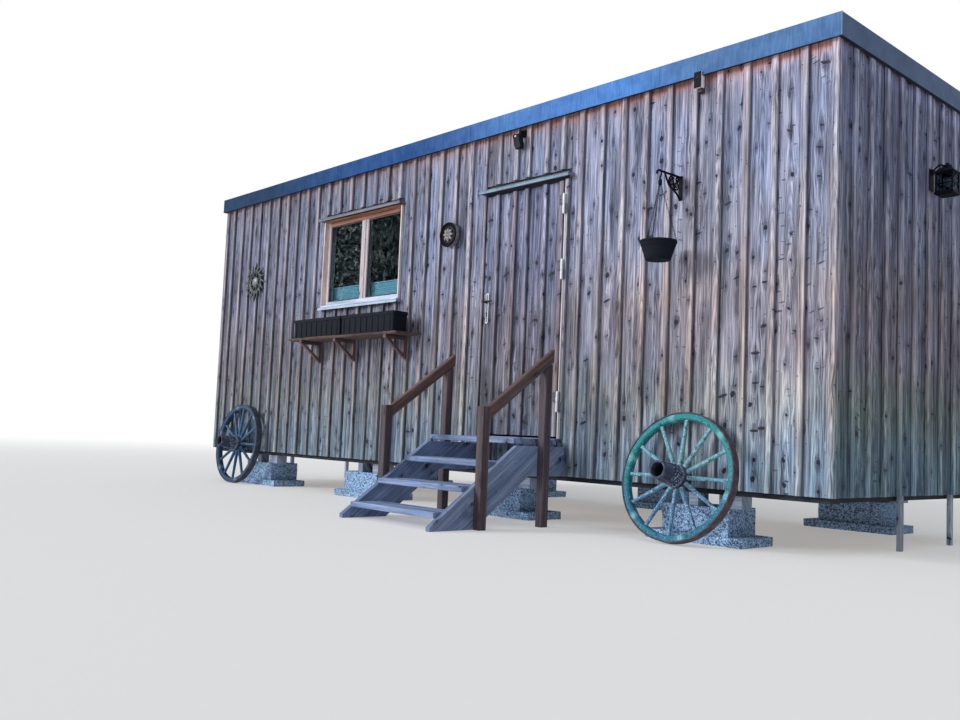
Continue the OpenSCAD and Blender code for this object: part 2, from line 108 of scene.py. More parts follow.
def node_method(kind, swapped=False):
    """A method that puts one sum, product or power of its two sides into the material."""
    def method(value, other=0.0):
        sides = (other, value) if swapped else (value, other)
        return value.shader.math(kind, *sides)
    return method


class Value:
    """A number or colour inside a material, for plain sums, products and powers."""

    def __init__(self, shader, socket):
        self.shader = shader
        self.socket = socket

    __add__, __radd__ = node_method("ADD"), node_method("ADD", True)
    __sub__, __rsub__ = node_method("SUBTRACT"), node_method("SUBTRACT", True)
    __mul__, __rmul__ = node_method("MULTIPLY"), node_method("MULTIPLY", True)
    __truediv__, __pow__, __abs__ = node_method("DIVIDE"), node_method("POWER"), node_method("ABSOLUTE")


class Shader:
    """A material's node tree, with short calls for the nodes that are used here."""

    def __init__(self, name, rough=0.8, metal=0.0, **sockets):
        self.mat = bpy.data.materials.new(name)
        self.mat.use_nodes = True
        self.tree = self.mat.node_tree
        self.tree.nodes.clear()
        self.out = self.put("ShaderNodeOutputMaterial")
        self.bsdf = self.put("ShaderNodeBsdfPrincipled")
        self.tree.links.new(self.bsdf.outputs[0], self.out.inputs[0])
        self.set(self.bsdf, "Roughness", rough)
        self.set(self.bsdf, "Metallic", metal)
        for key, value in sockets.items():
            self.set(self.bsdf, key.replace("_", " "), value)
        self.place = self.put("ShaderNodeTexCoord").outputs["Object"]
        self.x, self.y, self.z = self.split(self.place)

    def put(self, kind, **settings):
        node = self.tree.nodes.new(kind)
        for key, value in settings.items():
            setattr(node, key, value)
        return node

    def set(self, node, key, value):
        socket = node.inputs[key]
        value = value.socket if isinstance(value, Value) else value
        if isinstance(value, bpy.types.NodeSocket):
            self.tree.links.new(value, socket)
        elif hasattr(value, "__len__") and len(value) == 3 and socket.type == "RGBA":
            socket.default_value = (*value, 1.0)
        else:
            socket.default_value = value

    def math(self, kind, a, b=0.0, c=0.0):
        node = self.put("ShaderNodeMath", operation=kind)
        for k, value in enumerate((a, b, c)):
            self.set(node, k, value)
        return Value(self, node.outputs[0])

    def join(self, x, y, z=0.0):
        node = self.put("ShaderNodeCombineXYZ")
        for k, value in enumerate((x, y, z)):
            self.set(node, k, value)
        return Value(self, node.outputs[0])

    def split(self, vector):
        node = self.put("ShaderNodeSeparateXYZ")
        self.set(node, 0, vector)
        return [Value(self, socket) for socket in node.outputs]

    def noise(self, vector, scale=1.0, detail=4.0, rough=0.55, bend=0.0):
        node = self.put("ShaderNodeTexNoise")
        self.set(node, "Vector", vector)
        self.set(node, "Scale", scale)
        self.set(node, "Detail", detail)
        self.set(node, "Roughness", rough)
        self.set(node, "Distortion", bend)
        return Value(self, node.outputs["Fac"])

    def step(self, value, low, high, to=(0.0, 1.0)):
        node = self.put("ShaderNodeMapRange", interpolation_type="SMOOTHSTEP")
        self.set(node, 0, value)
        for k, limit in enumerate((low, high, *to)):
            self.set(node, k + 1, limit)
        return Value(self, node.outputs[0])

    def ramp(self, value, *stops):
        node = self.put("ShaderNodeValToRGB")
        self.set(node, 0, value)
        line = node.color_ramp.elements
        while len(line) < len(stops):
            line.new(0.5)
        for element, (at, colour) in zip(line, stops):
            element.position = at
            element.color = (*colour, 1.0)
        return Value(self, node.outputs[0])

    def mix(self, amount, a, b, kind="MIX"):
        node = self.put("ShaderNodeMix", data_type="RGBA", blend_type=kind)
        self.set(node, 0, amount)
        self.set(node, 6, a)
        self.set(node, 7, b)
        return Value(self, node.outputs[2])

    def scaled(self, colour, factors):
        """A colour times one factor for each of its three numbers."""
        return self.mix(1.0, colour, factors, "MULTIPLY")

    def tint(self, amount, colour, factors):
        """The same by an amount from 0 to 1."""
        return self.mix(amount, colour, self.scaled(colour, factors))

    def colour(self, value):
        self.set(self.bsdf, "Base Color", value)

    def bump(self, height, distance=0.001, strength=0.6):
        node = self.put("ShaderNodeBump")
        self.set(node, "Height", height)
        self.set(node, "Distance", distance)
        self.set(node, "Strength", strength)
        self.set(self.bsdf, "Normal", node.outputs[0])


def times(shader, vector, factors):
    """A vector times one factor for each axis."""
    node = shader.put("ShaderNodeVectorMath", operation="MULTIPLY")
    shader.set(node, 0, vector)
    shader.set(node, 1, factors)
    return Value(shader, node.outputs[0])


# Nets in which one knot, pin knot or spike knot may sit in each cell: width and length in metres
KNOT_NET = (0.085, 0.16)
PIN_NET = (0.031, 0.052)
SPIKE_NET = (0.08, 0.085)


def cells(s, u, v, wide, tall, own=0.0):
    """Random spots: the distances across and along to the nearest one in metres, and its three numbers."""
    node = s.put("ShaderNodeTexVoronoi", voronoi_dimensions="2D")
    s.set(node, "Vector", s.join(u / wide, (v + own) / tall))
    s.set(node, "Scale", 1.0)
    x, y = s.split(node.outputs["Position"])[:2]
    across = u - x * wide
    along = v + own - y * tall
    return across, along, s.split(node.outputs["Color"])


def oval(s, across, along, a, b):
    """Distance in an oval measure."""
    return s.math("SQRT", (abs(across) * a) ** 2.0 + (abs(along) * b) ** 2.0)


def wood(name, dark, mid, light, knots=0.5, rough=0.85, cracks=0.6, depth=0.0014, eave=0.0, foot=0.0,
         tone=0.34, spread=0.17, cool=(0.93, 0.98, 1.07), warm=(1.07, 0.98, 0.93), smudge=0.6, spikes=0.0,
         knot_size=1.0, fade=0.0, rim=0.0, foot_green_tint=(1.02, 1.2, 1.0), low_shade_tint=(0.79, 0.9, 0.94)):
    """Wood whose grain follows each piece's own 'grain' values: across, along, and one number a piece."""
    s = Shader(name, rough=rough)
    grain = s.put("ShaderNodeAttribute", attribute_name="grain").outputs["Vector"]
    u, v, own = s.split(grain)
    dice = s.put("ShaderNodeTexWhiteNoise", noise_dimensions="1D")
    s.set(dice, "W", own)
    lot1, lot2, lot3 = s.split(dice.outputs["Color"])
    centre = u - s.math("ROUND", u)
    seed = own * 9.0

    # Where knots sit, and grain that bends round them
    across, along, (real, size, kind) = cells(s, u, v, *KNOT_NET)
    present = s.step(real, 1.0 - knots, 1.01 - knots)
    near = s.step(oval(s, across, along, 1.0, 0.45), 0.05, 0.008)
    bent = u - across * (near * present * 0.6)

    # Grain: long streaks, fine lines and growth rings, from the dark colour to the light one
    streak = s.noise(s.join(bent * 46.0, v * 1.3, seed), 1.0, 6.0, 0.65)
    fine = s.noise(s.join(bent * 240.0, v * 3.0, seed), 1.0, 3.0, 0.6)
    wander = s.noise(s.join(u * 5.0, v * 1.6, seed), 1.0, 3.0)
    arc = centre * centre * 1500.0 + (v * (3.0 + lot1 * 5.0) + wander * 4.0)
    rings = s.math("SINE", arc * 6.283)
    figure = rings * s.step(lot2, 0.42, 0.5, (0.008, 0.035))
    body = streak * 0.66 + fine * 0.34 + figure
    colour = s.ramp(body, (0.5 - spread, dark), (0.5, mid), (0.5 + spread, light))

    # Cool and warm clouds, leaning one way on each board
    cloud = s.noise(s.join(u * 7.0, v * 2.2, seed + 5.0), 1.0, 3.0)
    leaning = lot3 * 0.5 + (cloud * 1.6 - 0.55)
    colour = s.scaled(colour, s.mix(s.step(leaning, 0.0, 1.0), cool, warm))

    # How light each board is, and painted shade that darkens the wall towards its left end
    lift = 1.0 - tone / 2 + lot1 * tone
    lift = lift * s.step(wander, 0.3, 0.7, (0.8, 1.18))
    if fade:
        lift = lift * s.step(s.x, -3.9, 3.4, (1.0 - fade, 1.0))
    colour = s.scaled(colour, s.join(lift, lift, lift))

    # Dark smudges
    stain = s.noise(s.join(u * 9.0, v * 3.4, seed), 1.0, 5.0, 0.6, 0.4)
    colour = s.tint(s.step(stain, 0.55, 0.72, (0.0, smudge)), colour, (0.42, 0.38, 0.42))

    # Tints of the light by height, stronger at the right
    if foot:
        belt = s.step(s.z, 2.1, 1.5) * s.step(s.z, 0.6, 1.0)
        colour = s.tint(belt, colour, (1.06, 0.97, 0.86))
        right = s.step(s.x, 1.6, 2.4)
        colour = s.tint(belt * right, colour, (0.97, 0.91, 0.87))
        waist = s.step(s.z, 1.4, 1.7) * s.step(s.z, 2.5, 2.2)
        colour = s.tint(waist * right, colour, (1.12, 1.08, 1.0))

    # Painted shade: darker edges beside a batten or an edge, where the batten's shadow falls
    if rim:
        colour = s.tint(s.step(abs(centre), 0.8 * rim, rim, (0.0, 0.5)), colour, (0.34, 0.34, 0.4))

    # Fresher wood under the eave, with painted light near the right end; green tones and painted shade at
    # the foot of the boards
    if eave or foot:
        ragged = s.z + (streak - 0.5) * 0.13
        if eave:
            colour = s.tint(s.step(ragged, 2.86, 3.06, (0.0, eave)), colour, (1.16, 1.0, 0.92))
            east = s.step(s.x, -2.5, 3.2)
            kept = s.step(ragged, 3.015, 3.115) * eave * (0.17 + east * 0.63)
            colour = s.mix(kept, colour,
                           s.ramp(body, (0.36, (0.13, 0.04, 0.024)), (0.64, (0.56, 0.22, 0.135))))
            # Painted light: near the right end, the wood just under the eave is lighter where the roof
            # edge's shadow falls
            corner = s.step(s.x, 2.2, 3.7)
            colour = s.tint(s.step(ragged, 2.98, 3.08) * corner, colour, (1.5, 1.6, 1.65))
        if foot:
            foot_green = s.step(ragged, 1.35, 0.85) * foot
            colour = s.tint(foot_green, colour, foot_green_tint)
            # Painted shade: lower down, the wall is darker except near the right end, where it is a little
            # lighter
            side = s.step(s.x, 2.2, 2.95, (0.83, 1.04))
            colour = s.tint(s.step(ragged, 1.9, 1.3), colour, s.join(side, side, side))
            # Painted shade: darker and bluer towards the foot
            low = s.step(ragged, 0.8, 0.4) * foot
            colour = s.tint(low, colour, low_shade_tint)

    # Cracks along the grain
    seam = s.noise(s.join(bent * 70.0, v * 0.45, seed), 1.0, 2.0)
    line = s.step(abs(seam - 0.5), 0.03, 0.008)
    where = s.step(s.noise(s.join(u * 18.0, v * 1.5, seed)), 0.52, 0.62)
    split = line * where * cracks
    colour = s.mix(split, colour, tuple(0.45 * c for c in dark))

    # Knots: a dark heart with a ragged edge, a halo, and a drip below it
    ragged = (s.noise(s.join(u, v, seed), 75.0, 3.0) - 0.5) * 0.012
    tilted = along + across * ((lot2 - 0.5) * 0.9)
    wide_or = s.step(kind, 0.66, 0.67, (1.0, 0.45))
    long_or = s.step(kind, 0.66, 0.67, (0.85, 1.45))
    away = oval(s, across, tilted, wide_or, long_or) + ragged
    reach = (0.0042 + size * size * 0.0115) * knot_size
    inside = s.step(away - reach, 0.0022, -0.001) * present
    wide = oval(s, across, along, 1.0, 0.42) + ragged
    halo = s.step(wide - reach, 0.02, 0.0, (0.0, 0.75))
    colour = s.tint(halo * present, colour, (0.4, 0.41, 0.5))
    heart = s.ramp((kind + 0.35) * fine, (0.25, (0.003, 0.004, 0.009)), (0.75, (0.022, 0.021, 0.032)))
    colour = s.mix(inside, colour, heart)
    drip = s.step(abs(across + ragged), 0.006, 0.001)
    drip = drip * (s.step(along, -0.075, -0.02) * s.step(along, 0.004, -0.004))
    drip = drip * present * s.step(kind, 0.5, 0.52, (0.0, 0.6))
    colour = s.tint(drip, colour, (0.3, 0.3, 0.36))

    # Pin knots
    pin_u, pin_v, (pin_real, pin_size, _) = cells(s, u, v, *PIN_NET, 3.3)
    pin_reach = 0.0012 + pin_size * 0.0026
    pin = s.step(oval(s, pin_u, pin_v, 1.0, 0.8) - pin_reach, 0.0016, 0.0)
    pin_share = 0.16 * min(1.0, 2 * knots)
    pin = pin * s.step(pin_real, 1.0 - pin_share, 1.005 - pin_share)
    colour = s.mix(pin * 0.85, colour, (0.02, 0.016, 0.02))
    dents = s.math("MAXIMUM", inside, pin)

    # Spike knots, cut lengthways
    if spikes:
        rise = v + u * ((lot3 - 0.5) * 1.2)
        far, tall, (there, long, _) = cells(s, u, rise, *SPIKE_NET)
        thick = oval(s, far, tall, 0.3, 1.0) + ragged * 0.5 - long * 0.0035
        dash = s.step(thick, 0.0055, 0.0015)
        some = s.step(there, 0.45, 0.46) * s.step(lot2, 1.0 - spikes, 1.001 - spikes)
        patch = s.step(s.noise(s.join(seed, v * 1.3), 1.0, 1.0), 0.45, 0.55)
        dash = dash * (some * patch)
        colour = s.mix(dash * 0.85, colour, (0.012, 0.014, 0.026))
        dents = s.math("MAXIMUM", dents, dash * 0.4)
    s.colour(colour)
    relief = body - split * 0.9
    s.bump(relief - dents * 0.35, depth, 0.8)
    return s.mat


def panelled(name, dark, light, pitch, axis, rough=0.6):
    """Planed boards side by side, seen on the walls, the floor and the ceiling of the room."""
    s = Shader(name, rough=rough)
    x, y, z = s.x, s.y, s.z
    across, along = {"z": (z, x + y), "y": (y, x), "x": (x, y)}[axis]
    number = s.math("FLOOR", across / pitch)
    inside = s.math("FRACT", across / pitch)
    streak = s.noise(s.join(across * 60.0, along * 1.5, number), 1.0, 5.0)
    own = s.noise(s.join(number, 7.0), 3.0, 0.0)
    body = streak * 0.6 + own * 0.4
    colour = s.ramp(body, (0.35, dark), (0.65, light))
    joint = s.step(abs(inside - 0.5), 0.47, 0.495)
    # Painted shade: nearer the front than the walls' inner face, where the reveals of the openings show,
    # the lining is darkened
    colour = s.mix(s.step(y, -0.474, -0.482, (0.0, 0.6)), colour, (0.012, 0.012, 0.014))
    s.colour(s.mix(joint, colour, tuple(0.25 * c for c in dark)))
    s.bump(streak - joint * 3.0, 0.002, 0.5)
    return s.mat


def metal_paint(name, colour, shade, rough=0.35, metal=0.0, dust=0.25, scale=9.0, streaks=0.2, painted_light_bands=(),
                specular=0.5, lines=0.0):
    """Painted or bare sheet metal with soft stains, faint streaks and fine dust, and where bands are
    given, painted light along the front.
    """
    s = Shader(name, rough=rough, metal=metal)
    cloud = s.noise(s.place, scale, 5.0, 0.6, 0.3)
    run = s.noise(times(s, s.place, (38.0, 38.0, 2.2)), 1.0, 4.0)
    tint = s.mix(s.step(cloud, 0.35, 0.68), colour, shade)
    tint = s.mix(s.step(run, 0.5, 0.75, (0.0, streaks)), tint,
                 tuple(min(1.0, c * 1.7 + 0.03) for c in colour))
    # Painted light: the brightness changes in bands from the left end to the right
    if painted_light_bands:
        tint = s.scaled(tint, s.ramp(s.step(s.x, -3.9, 3.8), *painted_light_bands))
    if lines:
        grain = s.noise(times(s, s.place, (85.0, 85.0, 7.0)), 1.0, 4.0, 0.7)
        lift = s.step(grain, 0.36, 0.64, (1.0 - lines, 1.0 + lines))
        tint = s.scaled(tint, s.join(lift, lift, lift))
    speck = s.step(s.noise(s.place, 420.0, 2.0), 0.6, 0.72, (0.0, dust))
    s.colour(s.mix(speck, tint, (0.42, 0.42, 0.42)))
    s.set(s.bsdf, "Roughness", rough - 0.06 + cloud * 0.2)
    s.set(s.bsdf, "Specular IOR Level", specular)
    if painted_light_bands:
        s.set(s.bsdf, "Specular IOR Level", s.step(s.x, -0.5, 1.5, (0.2 * specular, specular)))
    s.bump(s.noise(s.place, 3.2, 3.0), 0.004, 0.25)
    return s.mat


def flaking(name, paint, paint_low, bare, worn, chips=0.5, rough=0.62, height=(0.35, 0.75), scrapes=0.66):
    """Old paint on wood or iron: two shades by height, pale worn edges, chips down to the bare stuff."""
    s = Shader(name, rough=rough, Specular_IOR_Level=0.12)
    cloud = s.noise(s.place, 16.0, 5.0, 0.6)
    level = s.z + (cloud - 0.5) * 0.35
    colour = s.mix(s.step(level, *height), paint_low, paint)
    lift = s.noise(s.place, 55.0, 5.0, 0.65)
    colour = s.mix(s.step(lift, 0.48, 0.72, (0.0, 0.65)), colour, tuple(0.4 * c for c in paint))
    pointy = Value(s, s.put("ShaderNodeNewGeometry").outputs["Pointiness"])
    edge = s.step(pointy + lift * 0.03, 0.56, 0.62)
    colour = s.mix(edge * 0.6, colour, worn)
    scrape = s.noise(s.place, 95.0, 4.0, 0.7, 0.6)
    colour = s.mix(s.step(scrape, scrapes, scrapes + 0.035, (0.0, 1.2 * chips)), colour, worn)
    chip = s.step(s.noise(s.place, 38.0, 6.0, 0.7) * (cloud + 0.55), 0.6, 0.66)
    colour = s.mix(chip * chips, colour, bare)
    s.colour(colour)
    s.bump(lift - chip, 0.0012, 0.7)
    return s.mat


def rust(name, dark, mid, light):
    """Rusted iron in three shades."""
    s = Shader(name, rough=0.85, metal=0.0)
    cloud = s.noise(s.place, 22.0, 6.0, 0.65)
    grit = s.noise(s.place, 260.0, 4.0, 0.6)
    body = cloud * 0.7 + grit * 0.3
    s.colour(s.ramp(body, (0.36, dark), (0.52, mid), (0.68, light)))
    s.bump(body, 0.0015, 0.8)
    return s.mat


def iron(name, dark, light, rough=0.5, metal=0.6, specular=0.5):
    """Black or grey wrought and cast iron."""
    s = Shader(name, rough=rough, metal=metal, Specular_IOR_Level=specular)
    cloud = s.noise(s.place, 60.0, 5.0, 0.6)
    s.colour(s.ramp(cloud, (0.35, dark), (0.7, light)))
    s.set(s.bsdf, "Roughness", rough - 0.1 + cloud * 0.25)
    s.bump(s.noise(s.place, 210.0, 3.0), 0.0006, 0.6)
    return s.mat


def granite(name):
    """Grey speckled stone with a blue cast that is painted shade."""
    s = Shader(name, rough=0.8)
    grit = s.noise(s.place, 170.0, 2.0, 0.7)
    spots = s.put("ShaderNodeTexVoronoi")
    s.set(spots, "Vector", s.place)
    s.set(spots, "Scale", 120.0)
    lot = s.split(spots.outputs["Color"])[0]
    colour = s.ramp(lot, (0.15, (0.04, 0.06, 0.095)), (0.4, (0.15, 0.28, 0.49)), (0.85, (0.39, 0.6, 0.9)))
    colour = s.mix(s.step(grit, 0.55, 0.65, (0.0, 0.7)), colour, (0.05, 0.065, 0.09))
    s.colour(s.mix(s.step(s.noise(s.place, 6.0), 0.45, 0.7, (0.0, 0.3)), colour, (0.13, 0.16, 0.2)))
    s.bump(grit + s.noise(s.place, 24.0, 5.0), 0.004, 0.8)
    return s.mat


def plastic(name, colour, rough=0.45, dusty=0.3, specular=0.5):
    """Moulded plastic with paler, dusty patches."""
    s = Shader(name, rough=rough, Specular_IOR_Level=specular)
    cloud = s.noise(s.place, 14.0, 5.0, 0.6)
    grey = tuple(min(1.0, c * 1.6 + 0.02) for c in colour)
    s.colour(s.mix(s.step(cloud, 0.42, 0.75, (0.0, dusty)), colour, grey))
    s.bump(s.noise(s.place, 300.0, 2.0), 0.0004, 0.5)
    return s.mat


def glass(name, tint, clear=0.86, right=1.0):
    """A pane, mostly clear, with a painted speckled reflection; right is that reflection's share at the
    right light.
    """
    s = Shader(name)
    s.tree.nodes.remove(s.bsdf)
    through = s.put("ShaderNodeBsdfTransparent")
    s.set(through, "Color", tuple(clear * c for c in tint))
    shine = s.put("ShaderNodeBsdfGlossy")
    s.set(shine, "Roughness", 0.03)
    # Painted reflection: the speckle in the gloss colour and share stands in for trees reflected in the
    # pane
    speckle = s.noise(s.place, 24.0, 7.0, 0.76, 0.5)
    s.set(shine, "Color", s.ramp(speckle, (0.42, (0.02, 0.028, 0.035)), (0.53, (0.12, 0.16, 0.17)),
                                 (0.66, (0.8, 0.9, 0.87))))
    facing = s.put("ShaderNodeLayerWeight")
    s.set(facing, "Blend", 0.5)
    edge_on = Value(s, facing.outputs["Facing"])
    painted_reflection = s.step(speckle, 0.47, 0.66, (0.03, 0.22)) * s.step(s.x, -1.12, -1.0, (1.0, right))
    mirror = painted_reflection + edge_on ** 4.0 * 0.6
    wave = s.put("ShaderNodeBump")
    s.set(wave, "Height", s.noise(s.place, 2.5, 1.0))
    s.set(wave, "Distance", 0.002)
    s.tree.links.new(wave.outputs[0], shine.inputs["Normal"])
    both = s.put("ShaderNodeMixShader")
    s.set(both, 0, mirror)
    s.tree.links.new(through.outputs[0], both.inputs[1])
    s.tree.links.new(shine.outputs[0], both.inputs[2])
    s.tree.links.new(both.outputs[0], s.out.inputs[0])
    return s.mat


def cloth(name, colour, light):
    """Woven cloth with fine threads."""
    s = Shader(name, rough=0.9, Sheen_Weight=0.3)
    weave = s.put("ShaderNodeTexWave", wave_type="BANDS", bands_direction="Z")
    s.set(weave, "Vector", s.place)
    s.set(weave, "Scale", 260.0)
    threads = Value(s, weave.outputs["Fac"])
    cloud = s.noise(s.place, 30.0, 4.0)
    body = threads * 0.3 + cloud * 0.7
    s.colour(s.ramp(body, (0.3, colour), (0.7, light)))
    s.bump(threads, 0.0004, 0.5)
    return s.mat


def lit(name, colour, strength):
    """A lamp's glass with a faint glow."""
    s = Shader(name, rough=0.3)
    s.colour(colour)
    s.set(s.bsdf, "Emission Color", colour)
    s.set(s.bsdf, "Emission Strength", strength)
    return s.mat


